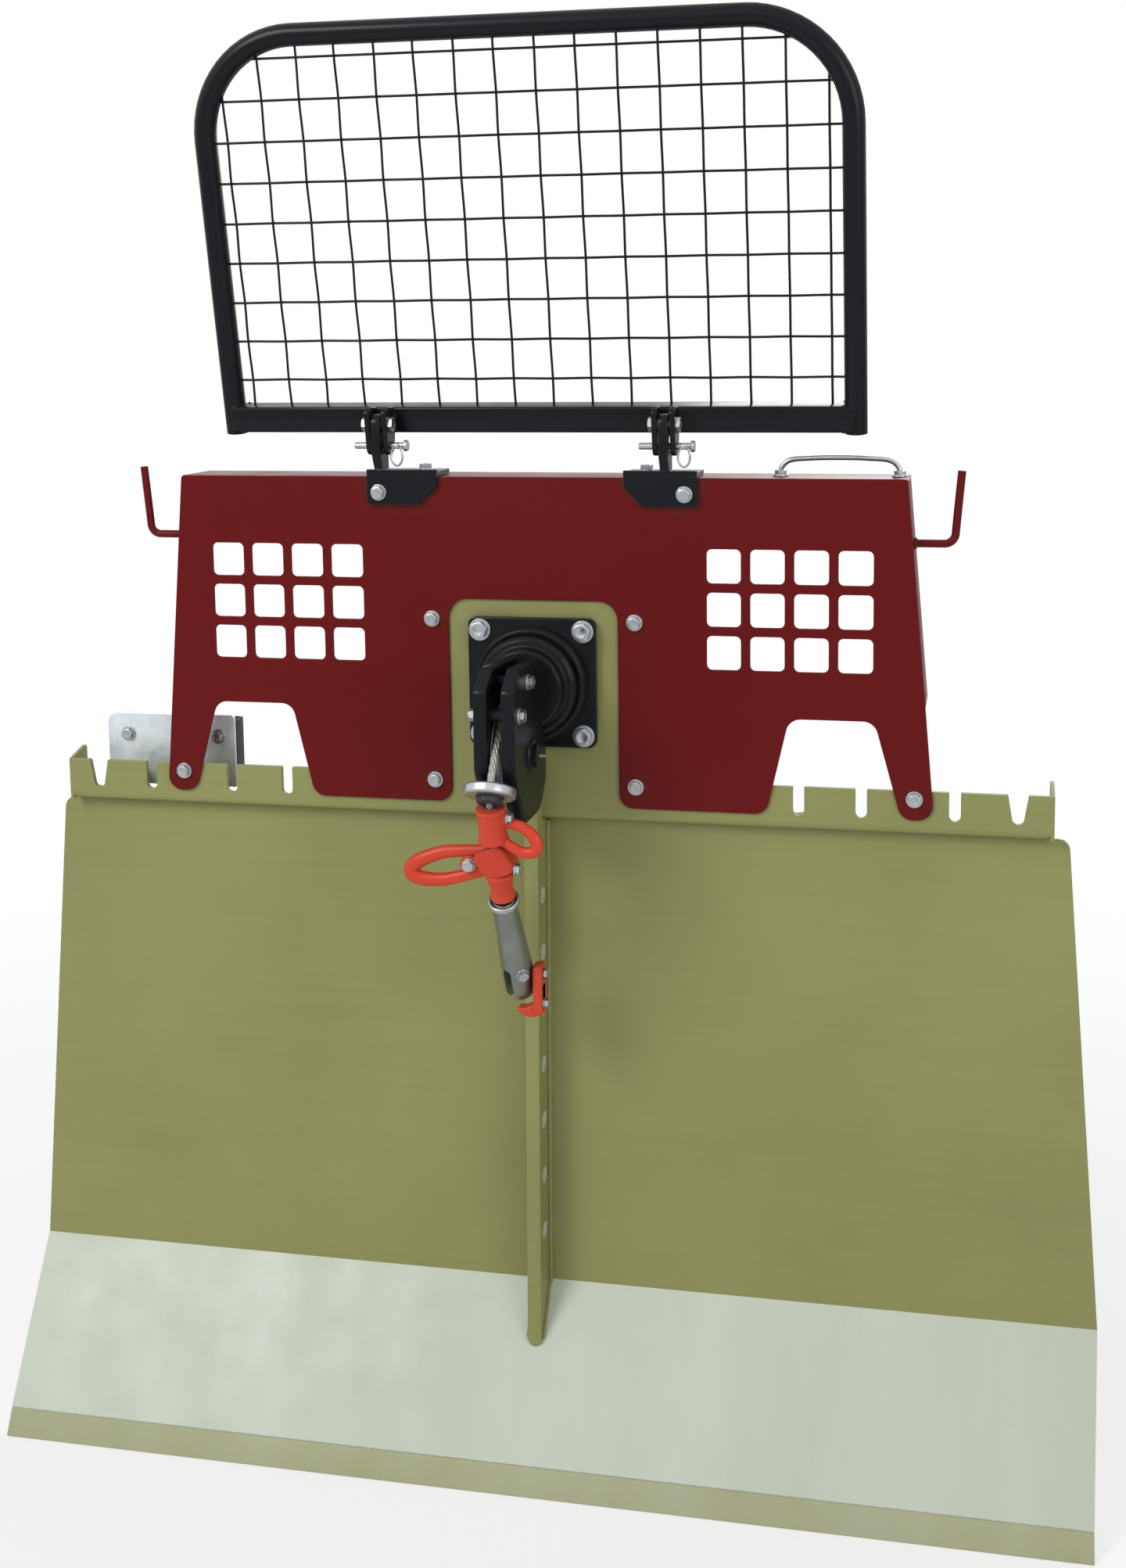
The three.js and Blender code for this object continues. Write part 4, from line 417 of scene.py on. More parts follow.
def hexagon(radius, place, direction, height, drop=0.42):
    """A bolt head or nut that stands on a place in mm; drop is how far its chamfered corners go down."""
    axis, u, v = axes(direction)
    flat, origin = radius * cos(pi / 6), P(*place)
    turns = [tau * i / 48 for i in range(48)]
    edge = [flat / cos((a + pi / 6) % (pi / 3) - pi / 6) for a in turns]
    levels = [[(r, 0) for r in edge], [(r, height - (r - flat * 0.96) * drop - 0.1) for r in edge]]
    levels += [[(flat * share, height - dip)] * 48 for share, dip in ((0.94, 0), (0.55, 0), (0.50, 0.35))]
    return lofted([[origin + ((u * cos(a) + v * sin(a)) * r + axis * h) * MM for a, (r, h) in zip(turns, level)]
            for level in levels])


def bolt(place, into, washer=12, thick=2.5, head=9.5, height=7.5, shank=5, grip=10, nut=0):
    """A hexagon bolt with its washer on a face, pointing into it; nut is how far the nut's washer lies behind."""
    into, place = Vector(into).normalized(), Vector(place)

    def end(at, out, tip):
        return [lathe([(shank, 0), (washer, 0), (washer, thick, 0.6), (shank, thick)], at, out, 32),
                hexagon(head, at + out * thick, out, height), rod(shank, at + out * thick, tip, 16)]

    parts = end(place, -into, place + into * grip)
    return parts + end(place + into * nut, into, place + into * (nut + thick + height + 3)) if nut else parts


def length_of(line):
    """A line's length in mm."""
    return sum((b - a).length for a, b in zip(line, line[1:])) * 1000


def spaced(line, count):
    """The line's points, count steps apart by length."""
    runs = [0, *accumulate((b - a).length for a, b in zip(line, line[1:]))]
    out, k = [], 0
    for i in range(count + 1):
        want = runs[-1] * i / count
        while k < len(line) - 2 and runs[k + 1] < want:
            k += 1
        step = runs[k + 1] - runs[k]
        out.append(line[k].lerp(line[k + 1], 0 if step < 1e-12 else min(1, (want - runs[k]) / step)))
    return out


RIPPLE = 3.4  # mm from one ripple of a weld to the next


def bead(points, size):
    """A weld bead with its ripples along points in mm."""
    line = [P(*p) for p in points]
    pts = spaced(line, max(4, int(length_of(line) / (RIPPLE / 3))))
    radii = [size * (0.86 + 0.14 * abs(sin(pi * i / 3 + 0.4 * sin(i * 0.37)))) for i in range(len(pts))]
    return tube(pts, radii, 8, ends=size * 0.5)


def seam(x, y, z, size):
    """A straight weld bead along the one of its three places that is given as several."""
    x, y, z = (v if hasattr(v, "__len__") else (v,) for v in (x, y, z))
    return bead([(a, b, c) for a in x for b in y for c in z], size)


def spline(points, per=24):
    """A centripetal Catmull-Rom line through points."""
    pts = [points[0] * 2 - points[1], *points, points[-1] * 2 - points[-2]]
    out = []
    for four in zip(pts, pts[1:], pts[2:], pts[3:]):
        knots = [0, *accumulate(sqrt((q - p).length) for p, q in zip(four, four[1:]))]
        for i in range(per):
            t, level = knots[1] + (knots[2] - knots[1]) * i / per, four
            for first, far in ((0, 1), (0, 2), (1, 1)):
                ends = zip(level, level[1:], knots[first:], knots[first + far:])
                level = [p.lerp(q, (t - a) / (b - a)) for p, q, a, b in ends]
            out.append(level[0])
    return out + [points[-1].copy()]


# --- pieces
FLAT_RIM = 5  # degrees


def joined(name, parts, clean):
    """A mesh of several forms, open for editing."""
    verts, faces = [], []
    for v, f in parts:
        faces += [tuple(i + len(verts) for i in face) for face in f]
        verts += v
    me = bpy.data.meshes.new(name)
    me.from_pydata([tuple(v) for v in verts], [], faces)
    bm = bmesh.new()
    bm.from_mesh(me)
    bmesh.ops.remove_doubles(bm, verts=bm.verts, dist=2e-7)
    if clean:
        bmesh.ops.dissolve_degenerate(bm, edges=bm.edges, dist=1e-7)
        bmesh.ops.delete(bm, geom=[e for e in bm.edges if not e.link_faces], context="EDGES")
    bmesh.ops.recalc_face_normals(bm, faces=bm.faces)
    return me, bm


def close(me, bm):
    bm.to_mesh(me)
    bm.free()


def smooth(me, bm, angle, rim_angle):
    """Shades a mesh smooth up to an angle in degrees, with its own for the rim of a sheet's broad face."""
    for e in bm.edges:
        # a broad face is made of triangles and its rounded edge of quads
        rim = len({len(f.verts) == 3 for f in e.link_faces}) == 2
        e.smooth = len(e.link_faces) == 2 and e.calc_face_angle(0) < radians(rim_angle if rim else angle)
    for f in bm.faces:
        f.smooth = True
    close(me, bm)


def build(name, parts, slot="olive_paint", body="winch", nodes=(), angle=32, skin=None):
    """Joins forms in one piece with its material slot, its body and the CAD nodes it stands for."""
    me, bm = joined(name, parts, True)
    smooth(me, bm, angle, FLAT_RIM if angle < 60 else angle)
    ob = new_object(name, me)
    me.materials.append(M[skin or slot])
    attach(ob, body)
    if nodes:
        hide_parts(*([nodes] if isinstance(nodes, str) else nodes))
    return ob


def dress(node, form, parts, slot="olive_paint", body="winch", **more):
    """A piece that stands for one CAD node and is named after it."""
    return build(f"{node}_{form}", parts, slot, body, node, **more)


def carve(ob, parts):
    """Cuts closed forms out of a piece."""
    me, bm = joined("cutter", parts, False)
    close(me, bm)
    cutter = new_object("cutter", me)
    mod = ob.modifiers.new("cut", "BOOLEAN")
    mod.operation, mod.solver, mod.object = "DIFFERENCE", "EXACT", cutter
    made = bpy.data.meshes.new_from_object(ob.evaluated_get(bpy.context.evaluated_depsgraph_get()))
    ob.modifiers.clear()
    old, ob.data = ob.data, made
    bpy.data.meshes.remove(old)
    bpy.data.objects.remove(cutter)
    bm = bmesh.new()
    bm.from_mesh(made)
    smooth(made, bm, 30, 30)


# --- rope: six strands laid round a core
ROPE, LAY, BORE = 5.5, 70, 6.6
PULLEY, INNER, PITCH_R, AXLE_BORE, HEAD_Z = (-128, 1134), (106, 1134), 84, 12.3, 1218


def lobes(start, strands=6):
    """The rope's section, turned on by what has run before."""
    reach, small = ROPE * 2 / 3, ROPE / 3

    def section(a, run, r):
        t = (a + tau * (run + start) / LAY + pi / strands) % (tau / strands) - pi / strands
        rr = reach * cos(t) + sqrt(max(0, small ** 2 - (reach * sin(t)) ** 2))
        return rr, rr
    return section


def add_uv(ob, sides):
    """A UV map whose first axis runs round the rope and whose second runs along it."""
    layer, loops = ob.data.uv_layers.new(name="lay"), ob.data.loops
    for poly in ob.data.polygons:
        ks = [loops[l].vertex_index % sides for l in poly.loop_indices]
        wrap = max(ks) - min(ks) > sides // 2
        for l, k in zip(poly.loop_indices, ks):
            along = loops[l].vertex_index // sides / 10
            layer.data[l].uv = ((k + sides if wrap and k < sides // 2 else k) / sides, along)


def rope(node, line, step, sides, body, start=0):
    """A rope along a line, with rings step mm apart; gives the piece, its length in mm and its middle line."""
    length = length_of(line)
    pts = spaced(line, max(8, int(length / step)))
    ob = dress(node, "laid", [tube(pts, ROPE, sides, section=lobes(start))], "wire_rope", body, angle=75)
    add_uv(ob, sides)
    return ob, length, pts


def over(pulley, angles):
    """The rope's line in a pulley's groove."""
    return [P(0, pulley[0] + PITCH_R * cos(a), pulley[1] + PITCH_R * sin(a)) for a in angles]


# --- rope end, hanging from the head
_, head_run, _ = rope("rope_in_head", [P(0, -27.3, HEAD_Z)] + over(PULLEY, [radians(90 + 2 * i) for i in range(25)]),
        2, 36, HEAD)
leave = P(0, -190.825, 1189.761)
end_line = spline([leave] + [P(0, y, z) for y, z in (
    (-227, 1150), (-252, 1111), (-250, 1072), (-235, 1032), (-214, 991), (-199, 960), (-191, 938))])
hook_top = Vector((0, -190.42, 936.95))
hook_axis = Vector((0, 94.42, -170.95)).normalized()
end_line += [P(*(hook_top + hook_axis * t)) for t in (14, 28, 42, 56, 68, 80)]
rope_end, end_length, end_pts = rope("rope_end", end_line, 1.6, 36, HEAD, head_run)

# stop disc: a thick plated steel washer that leans with the rope, with a rubber buffer below
disc_axis = Vector((0, -sin(radians(28)), -cos(radians(28))))
disc_top = Vector((0, -252, 1111)) - disc_axis * 6.5
stop = dress("stop_disc", "plate", [lathe([
    (BORE, 0), (34, 0, 2.5), (37, 3, 2), (37, 13, 2), (34, 15, 2), (19, 15, 1), (17.5, 12.8, 1), (BORE, 12.8)],
    disc_top, disc_axis, 64)], "zinc", HEAD)
buffer = build("stop_buffer", [lathe([(BORE, 13), (17, 13), (18, 17, 2), (17, 25, 3), (BORE, 25)],
        disc_top, disc_axis, 48)], "plastic", HEAD)


def loop_bar(sign, y, z, root, reach, rise, wire, drop):
    """A cast eye: a bar bent out to one side and back, drop-shaped, narrow at its root and thicker at its end."""
    pts, radii, parts = [], [], 40
    for t in steps(0, 1, parts):
        a = pi * (t - 0.5)
        x = root + (reach - root) * (cos(a) ** 0.62 if abs(a) < pi / 2 - 1e-6 else 0)
        neck = 0.62 + 0.38 * min(1, (x - root) / (0.55 * (reach - root)))
        pts.append(P(sign * x, y, z - sin(a) * rise * neck - drop * (x - root) / (reach - root)))
        radii.append(wire * (0.92 + 0.22 * max(0, cos(a)) ** 3))
    return tube(spaced(pts, 64), [radii[min(parts, round(k * parts / 64))] for k in range(65)], 14,
            section=lambda a, run, r: (r * 1.08, r * 0.94))


def sleeve(a, b, r0, r1):
    """A cast collar round the rope from one place to another."""
    way = Vector(b) - Vector(a)
    n = way.length
    return lathe([
        (BORE, 0), (r0 - 1, 0, 1.5), (r0, 5, 2), (r0 - 2, 9, 3), (r1 - 2.5, n - 16, 8), (r1 - 1.5, n - 8, 6),
        (r1, n - 3, 2), (r1 - 0.5, n, 1.5), (BORE, n)], a, way, 40)


def lump(center, levels, depth, tilt):
    """A cast lump lofted through rounded squares of (level, half width, radius), turned in the front view."""
    c, s, (x, y, z) = cos(tilt), sin(tilt), center
    return lofted([[P(x + u * c - h * s, y + v - h * 0.42, z + u * s + h * c)
            for u, v in fillet(rect(-half, -depth * 0.5, half, depth * 0.5, r), 5)] for h, half, r in levels])


upper = dress("slider_upper", "cast", [
    sleeve((0, -251, 1088), (0, -237, 1037), 21.5, 22),
    loop_bar(1, -241, 1052, 12, 64, 20, 7.4, 19),
    lathe([(0, 0), (12, 0, 2), (9.5, 15.5, 2), (0, 15.5)], (6, -244, 1071), X, 32),
], "orange_red_paint", HEAD)
upper_bolt = build("slider_upper_screw", bolt((21.7, -244, 1071), (-1, 0, 0), 9, 1.8, 8, 6.4, 4, 6),
        "zinc", HEAD)
saddle = ((-20, 17, 5), (-16, 21, 6), (-12, 22.5, 7), (15, 23.5, 7), (21, 21, 6), (26, 16, 5))
lower = dress("slider_lower", "cast", [
    sleeve((0, -212, 986), (0, -192, 942), 21.5, 18.5),
    lump((-1, -214, 999), saddle, 44, radians(24)),
    loop_bar(-1, -212, 1001, 16, 131, 22, 8.9, 21),
    lathe([(0, 0), (14, 0, 2), (13, 15, 2), (0, 15)], (-42, -219.5, 994), Y, 32),
], "orange_red_paint", HEAD)
lower_bolts = build("slider_lower_screws", bolt((24.2, -216, 990), (-1, 0, 0), 9.4, 1.8, 8.4, 6.4, 4, 6)
        + bolt((-42, -219.7, 994), Y, 9.8, 1.8, 8.8, 6.8, 4, 6), "zinc", HEAD)

# end hook: a tapered steel body with a bright ring, an open slot for the chain and a keeper
span = (Vector((0, -96, 766)) - hook_top).length
across = Vector(X).cross(hook_axis).normalized()


def out_of_hook(angle):
    """A direction out of the hook, in degrees from its front to the viewer's right."""
    return Vector((sin(radians(angle)), 0, 0)) - across * cos(radians(angle))


slot_out, pin_out = out_of_hook(-27), out_of_hook(34)
slot_side = hook_axis.cross(slot_out).normalized()
hook = dress("end_hook", "body", [lathe([
    (6.8, 0), (15, 0, 1), (18.5, 4, 2), (18, 14, 4), (18.5, 40, 8), (23.5, span * 0.72, 16), (24, span * 0.93, 8),
    (19, span, 6), (0, span), (0, 84), (6.8, 84)], hook_top, hook_axis, 56)],
    "cast_iron", HEAD, skin="hook_steel")
carve(hook, [sheet([(-6.8, 0, 6.7), (6.8, 0, 6.7), (7.6, 80), (-7.6, 80)], 40, lambda u, v, w: P(
    *(hook_top + hook_axis * (span * 0.665 + v) + slot_side * u + slot_out * (1.5 + w))))])
hook_ring = build("end_hook_ring", [lathe([(18.8, -1, 1), (23, -1, 2), (23, 8, 2), (18.8, 8, 1)],
        hook_top, hook_axis, 56)], "zinc", HEAD)
LATCH_Y, LATCH_Z = -115.92, 802.07
hook_pin = build("end_hook_pin", [
    rod(5.2, (6.5, LATCH_Y, LATCH_Z), (41, LATCH_Y, LATCH_Z), 20),
    hexagon(8.6, (40, LATCH_Y, LATCH_Z), X, 5),
    *bolt(hook_top + hook_axis * (span * 0.7) + pin_out * 22.6, -pin_out, 10, 2, 8.6, 7, 5, 8),
], "zinc", HEAD)
keeper_outline = [(LATCH_Y + y, LATCH_Z + z, r) for y, z, r in (
    (-16, 16, 8), (14, 16, 8), (17, -14, 12), (13, -62, 7), (-13, -62, 7), (-16, -8, 10))]
claw = [(39.1, 786), (39.1, 752, 12), (28, 735.5, 12), (10, 737.5, 8), (-6, 750.5, 4), (12, 751, 5), (25.6, 757, 5),
        (25.6, 786)]
keeper = build("hook_keeper", [sheet(keeper_outline, 13.6, side(25.5), [circle(LATCH_Y, LATCH_Z, 5.9)], 2.2, 8),
        sheet(claw, 20, front(LATCH_Y - 10), (), 2.6, 8)],
        "orange_red_paint", "latch", "hook_latch")
keeper_bolt = build("hook_keeper_bolt", bolt((39.2, LATCH_Y, 757), (-1, 0, 0), 8.6, 1.8, 7.4, 5.5, 4, 6),
        "zinc", "latch")

[tuple(p) for p in end_pts]

# --- rope head
dress("head_flange", "plate", [
    sheet(rect(-99, 1119, 99, 1317, 12), 12, front(-8), [circle(0, HEAD_Z, 30.6, 48)], 1.6)], "black_paint")
build("head_flange_bolts", [p for x in (-80, 80) for z in (-80, 80)
        for p in bolt((x, -8, HEAD_Z + z), Y, 17, 3, 14, 10.5, 8, 30)], "zinc")
dress("swivel_ring", "turned", [lathe([
    (30.6, -28.3), (64, -28.3), (66, -25.5, 1), (76, -25.5, 1), (79, -28.3, 1), (83, -28.3, 3), (88, -22, 3),
    (88, -8.3), (30.6, -8.3)], (0, 0, HEAD_Z), Y, 96)], "black_paint")
hub = dress("head_hub", "turned", [lathe([
    (18, 22.9), (18, -64.9, 2), (56, -64.9, 3), (60, -61, 3), (60, -44.9, 4), (70, -44.9, 3), (76, -40, 3),
    (76, -31.5, 1.5), (73, -28.9), (30, -28.9), (30, 12.9), (42, 12.9, 1), (42, 22.9, 1)],
    (0, 0, HEAD_Z), Y, 96)], "black_paint", HEAD)
carve(hub, [lathe([(0, -9.6), (91.2, -9.6), (91.2, 9.6), (0, 9.6)], (0, *PULLEY), X, 96)])
cheek = [(-65.2, 1266.4), (-190, 1274, 14), (-228, 1246, 10), (-228, 1130, 26), (-174, 1042, 30), (-82, 1042, 36),
        (-45.5, 1082, 20), (-45.5, 1132, 8), (-65.2, 1158)]
for label, s in SIDES:
    dress(f"head_cheek_{label}", "cast", [sheet(cheek, 20, side(20 * s - 10), [circle(*PULLEY, AXLE_BORE)], 3, 10)],
          "black_paint", HEAD)
    build(f"head_cheek_{label}_rib", [lathe([
        (AXLE_BORE, 0), (26, 0), (24, 3.2, 1.5), (AXLE_BORE, 3.2)], (30 * s, *PULLEY), (s, 0, 0), 48)],
        "black_paint", HEAD)
for label, y, z in (("upper", -152, 1247), ("lower", -203, 1208)):
    dress(f"head_bolt_{label}", "hex", bolt((30.3, y, z), (-1, 0, 0), 12, 2.5, 9.5, 7.5, 5.8, 20, nut=60.6),
          "zinc", HEAD)
    build(f"head_boss_{label}", [lathe([(BORE, 0), (9, 0), (9, 20, 1), (BORE, 20)], (-10, y, z), X, 24)],
          "black_paint", HEAD)
build("pulley_axle_caps", [hexagon(17.6, (s * 33.4, *PULLEY), (s, 0, 0), 5.5) for s in (-1, 1)],
      "black_paint", HEAD)
dress("pulley_axle", "turned", [
    rod(12, (-34, *PULLEY), (34, *PULLEY), 32), rod(3.2, (38.9, *PULLEY), (44, *PULLEY), 16),
    lathe([(0, 0), (2.4, 0), (2.4, 2), (1.6, 3), (2.2, 4.5), (1.4, 6), (0, 6)], (44, *PULLEY), X, 16),
], "bare_steel", HEAD)


def pulley(node, y, z, body):
    """A grooved wheel with five lightening holes."""
    profile = [(90, -9, 1), (90, -7.6, 1), (83.5, -5.6, 1.5), (78.6, -3.4, 2), (77.6, 0, 3), (78.6, 3.4, 2),
            (83.5, 5.6, 1.5), (90, 7.6, 1), (90, 9, 1), (72, 9, 1), (70, 5, 2), (34, 5, 2), (31, 9, 1), (12.4, 9),
            (12.4, -9), (31, -9, 1), (34, -5, 2), (70, -5, 2), (72, -9, 1)]
    wheel = dress(node, "wheel", [lathe(profile, (0, y, z), X, 96)], "bare_steel", body)
    carve(wheel, [lathe([(0, -12), (11, -12), (11, 12), (0, 12)], (0, y + dy, z + dz), X, 32)
            for dy, dz in around(5, 52, 0.5)])


pulley("head_pulley", *PULLEY, "front_pulley")
pulley("inner_pulley", *INNER, "rear_pulley")


# --- hitch bar, rail and cover; the blade leans from LIP over START to TOP, places as (Y, Z)
LIP, START, TOP = (-150, 39), (5, 256), (30, 999)


def blade_front(z):
    return START[0] + (z - START[1]) * ((TOP[0] - START[0]) / (TOP[1] - START[1]))


def on_bar(z, slope):
    """The bar's front or the slope of its foot, which meet at its lowest place."""
    return -55.85 + (z - 171.33) * slope


def foot_place(u, v, w):
    """The bar's rounded foot lies between its front and its slope."""
    near, far = on_bar(v, BAR_FRONT) + 0.04, on_bar(v, BAR_SLOPE) - 0.04
    return P(u, near + (far - near) * w / 10, v)


BAR_FRONT, BAR_SLOPE, FOOT_Z, FOOT_R = 0.033651, 0.714288, 186.3, 10.96
bar = [(-24.33, 1108, 11), (on_bar(FOOT_Z, BAR_FRONT), FOOT_Z), (on_bar(FOOT_Z, BAR_SLOPE), FOOT_Z), (4.63, 256),
       (29.79, 1001.7), (4, 1001.7), (4, 1108)]
bar_holes = [(blade_front(z) - 30, z) for z in (885 - 89 * i for i in range(7))]
foot = [(FOOT_R, FOOT_Z + 6), (-FOOT_R, FOOT_Z + 6)] + [
    (FOOT_R * cos(a), FOOT_Z + 0.4 + FOOT_R * sin(a)) for a in steps(-pi, pi, 20)]
dress("hitch_bar", "plate", [sheet(bar, 22, side(-11), [circle(y, z, 10.6) for y, z in bar_holes], 2),
        sheet(foot, 10, foot_place, (), 2)])
# pale rings in the mouths and walls of the bar's holes: a painted highlight where the holes catch the light
build("hitch_bar_hole_highlights", [lathe([
    (9.4, -0.1), (12.6, -0.1), (12.6, 0.6), (10.8, 0.6), (10.8, 21.7), (12.6, 21.7), (12.6, 22.4), (9.4, 22.4)],
    (-11.15, y, z), X, 32) for y, z in bar_holes], skin="lip_paint")
upper_line = [(blade_front(z) - 1.2, z) for z in range(250, 996, 12)]
lower_line = [(5 + (z - 256) * 0.7143 - 1.2, z) for z in (186, 210, 236, 256)]
build("hitch_bar_welds", [bead([(s * x, *place) for place in line], size)
        for x, line, size in ((12.6, upper_line, 4.4), (12.2, lower_line, 3.2)) for s in (-1, 1)])

RAIL, RIM, NOTCH, SHELF = 777, 1069, 1025, (-690, -560)
right_edge = [corner for x in (404, 497, 634) for corner in (
    (x - 8.5, RIM, 1.5), (x - 8.5, NOTCH, 8.4), (x + 8.5, NOTCH, 8.4), (x + 8.5, RIM, 1.5))]
right_edge += [(710, RIM, 2), (717.5, NOTCH, 7), (732.5, NOTCH, 7), (740, RIM, 2)]
rail = [(-RAIL, RIM, 3), *mirrored(right_edge), (-178, RIM), (-178, 1500, 30), (178, 1500, 30), (178, RIM),
        *right_edge, (RAIL, RIM, 3), (RAIL, 1014), (-RAIL, 1014)]
fold = [(4.9, 1020), (4.3, 1014.2), (7, 1007, 5), (16.3, 1002, 5), (38.3, 1002, 1), (38.3, 1008, 1), (18.3, 1008, 4),
        (11.6, 1014), (11.6, 1020)]
wing = [(4.6, 1002), (54.3, 1014, 4), (54.3, 1083, 5), (36, 1078, 10), (4.6, RIM)]
shelf = [(-20, 1014), (20, 1014), (20, 1050, 4), (-20, 1050, 4)]
dress("chain_rail", "sheet", [
    sheet(rail, 8, front(4.3), [circle(0, HEAD_Z, 30.6, 40)], 1), sheet(fold, 2 * RAIL, side(-RAIL), (), 0.6),
    *(sheet(wing, 6, side(x), (), 1) for x in (-RAIL, RAIL - 6)),
    *(sheet([(x + u, *rest) for u, *rest in shelf], 53.5, front(6.2), (), 1) for x in SHELF)])
build("chain_rail_welds", [seam(s * RAIL - s * 7.5, 13.6, range(1016, 1062, 6), 2.6) for s in (-1, 1)]
      + [seam(range(-770, 771, 20), 39.5, 1001, 2.6)]
      + [seam(x + dx, 13.2, (1016, 1030, 1046), 2.4) for x in SHELF for dx in (-21, 21)])

half = [(132, 1343, 30), (132, 1026, 22), (356, 1026, 22), (390, 1172, 22), (516, 1172, 22), (556, 1026, 22),
        (604, 1026, 22), (562, 1530, 6)]
roof = [(3.2, 1524), (3.2, 1529.6, 2), (105, 1529.6, 1), (105, 1525.8, 1), (6, 1525.8, 2), (6, 1520), (3.4, 1520)]
flange = [(590, 1194), (586, 1194), (558.2, 1527), (562, 1527)]
windows = [(first + 65 * column, 1399 - 65 * row) for first in (293, -488) for column in range(4) for row in range(3)]
dress("top_cover", "sheet", [
    sheet(half + mirrored(half), 4, front(0),
        [fillet(rect(x - 25.5, z - 25.5, x + 25.5, z + 25.5, 8), 5) for x, z in windows], 0.9, 8),
    sheet(roof, 1122, side(-561), (), 0.6),
    *(sheet([(s * x, z) for x, z in flange], 101, front(3), (), 0.8) for s in (-1, 1))], "red_paint")
build("top_cover_welds", [seam(s * 561.4281, range(6, 103, 6), 1526.6, 1.8) for s in (-1, 1)], "red_paint")
build("cover_bolts", [p for s in (-1, 1) for x, z in ((158, 1312), (158, 1060), (575, 1058))
        for p in bolt((s * x, 0, z), Y, 12.5, 2.5, 9.6, 6.6, 4.9, 15, nut=12.3)], "zinc")

for label, s in SIDES:
    line = [(570.8, 1434), (592, 1434), *((614 + 16 * sin(a), 1450 - 16 * cos(a)) for a in steps(0, pi / 2, 10)),
            (634, 1496), (638, 1540)]
    dress(f"side_hook_{label}", "rod", [
        tube([P(s * x, 30, z) for x, z in line], 6, 20, ends=1.2),
        lathe([(5.9, 0), (10, 0, 1), (8.5, 3.5, 2), (5.9, 5)], (s * 570.4, 30, 1434), (s, 0, 0), 32)], "red_paint")

bow = ((372, 0), (374, 9), (384, 18), (416, 22), (504, 22), (536, 18), (546, 9), (548, 0))
bow_parts = [tube(spline([P(x, 52, 1534.8 + rise) for x, rise in bow], 8), 4, 16)]
for x in (372, 548):
    bow_parts += [lathe([(4.1, 0), (12, 0), (12, 2.4, 0.8), (4.1, 2.4)], (x, 52, 1530.3), Z, 32),
            hexagon(9, (x, 52, 1532.6), Z, 6.4)]
dress("bow_handle", "rod", bow_parts, "zinc")

build("saw_holder_sheet", [sheet([(-735, 1018, 2), (-514, 1018, 2), (-514, 1136, 6), (-735, 1136, 18)], 5, front(60),
        (), 1)], "zinc", nodes="saw_holder_plate", skin="galvanised")
build("saw_holder_box", [sheet([(-717, 65.3, 3), (-514, 65.3, 3), (-514, 99.3, 6), (-717, 99.3, 6)], 109, top(1018),
        [fillet(rect(-712, 70.3, -519, 94.3, 3), 4)], 0.8)],
      "plastic", nodes="saw_holder_pocket")
build("saw_holder_bolts", [p for x in (-699, -542.8)
        for p in bolt((x, 60, 1101), Y, 12, 2.2, 9.5, 6.5, 4.9, 9)], "zinc")

# --- guard, which leans back; its places are across, up and out
GUARD_LEAN, HALF, BEND = radians(10.5), 484, 150
CORNER, SHOULDER = HALF - BEND, 422
G_UP = Vector((0, -sin(GUARD_LEAN), cos(GUARD_LEAN)))
G_OUT = Vector((0, -cos(GUARD_LEAN), -sin(GUARD_LEAN)))


def on_guard(x, v, out=0):
    return Vector((x, 41, 1618)) + G_UP * v + G_OUT * out


def GP(x, v, out=0):
    return P(*on_guard(x, v, out))


def guard_side(x):
    return lambda u, v, w: GP(x + w, v, u)


line = [GP(HALF, -24), GP(HALF, 200)]
for middle, start in ((CORNER, 0), (-CORNER, pi / 2)):
    line += [GP(middle + BEND * cos(a), SHOULDER + BEND * sin(a)) for a in steps(start, pi / 2, 16)]
line += [GP(-HALF, 200), GP(-HALF, -24)]
guard_parts = [tube(line, 16.8, 32, ends=0.8), sheet(rect(-20, -20, 20, 20, 4), 966, guard_side(-483),
        [fillet(rect(-17, -17, 17, 17, 2), 3)], 0.6, 4)]
ear = [(18.5, 20, 2), (44, 27, 9), (58, 22, 9), (58, -48, 14), (30, -48, 14), (18.5, -20, 2)]
PIV, LOCK = on_guard(0, -1, 44), on_guard(0, -34, 44)
clevises = (("left", -1, -236), ("right", 1, 206))
guard_bolts = []
for _, _, x in clevises:
    for a in (x - 17.5, x + 9.5):
        guard_parts.append(sheet(ear, 8, guard_side(a), [circle(44, -34, 5.4, 24), circle(44, -1, 7.2, 24)], 1.2, 8))
        guard_parts.append(bead([on_guard(a + 9.2, v, 20.6) for v in (-17, -6, 6, 17)], 2))
    guard_bolts += [rod(7, (x - 22, PIV.y, PIV.z), (x + 22, PIV.y, PIV.z), 24),
            hexagon(11.2, (x + 17.6, PIV.y, PIV.z), X, 7),
            hexagon(11.2, (x - 17.6, PIV.y, PIV.z), (-1, 0, 0), 6.5)]
for s in (-1, 1):
    guard_parts += [bead([on_guard(s * 466.5, v, out) for v in range(-20, 21, 8)], 2.4) for out in (15.5, -15.5)]
build("guard_tube_frame", guard_parts, "black_paint", "guard", "guard_frame")
build("guard_pivot_bolts", guard_bolts, "zinc", "guard")

WIRE, CRIMP, MESH = 1.9, 1.55, 60


def round_corner(past):
    return sqrt(BEND ** 2 - max(0, past) ** 2)


def wave(k, t):
    """A crimped wire passes its neighbours in front and behind in turn."""
    return cos(pi * t) * (CRIMP if k % 2 else -CRIMP)


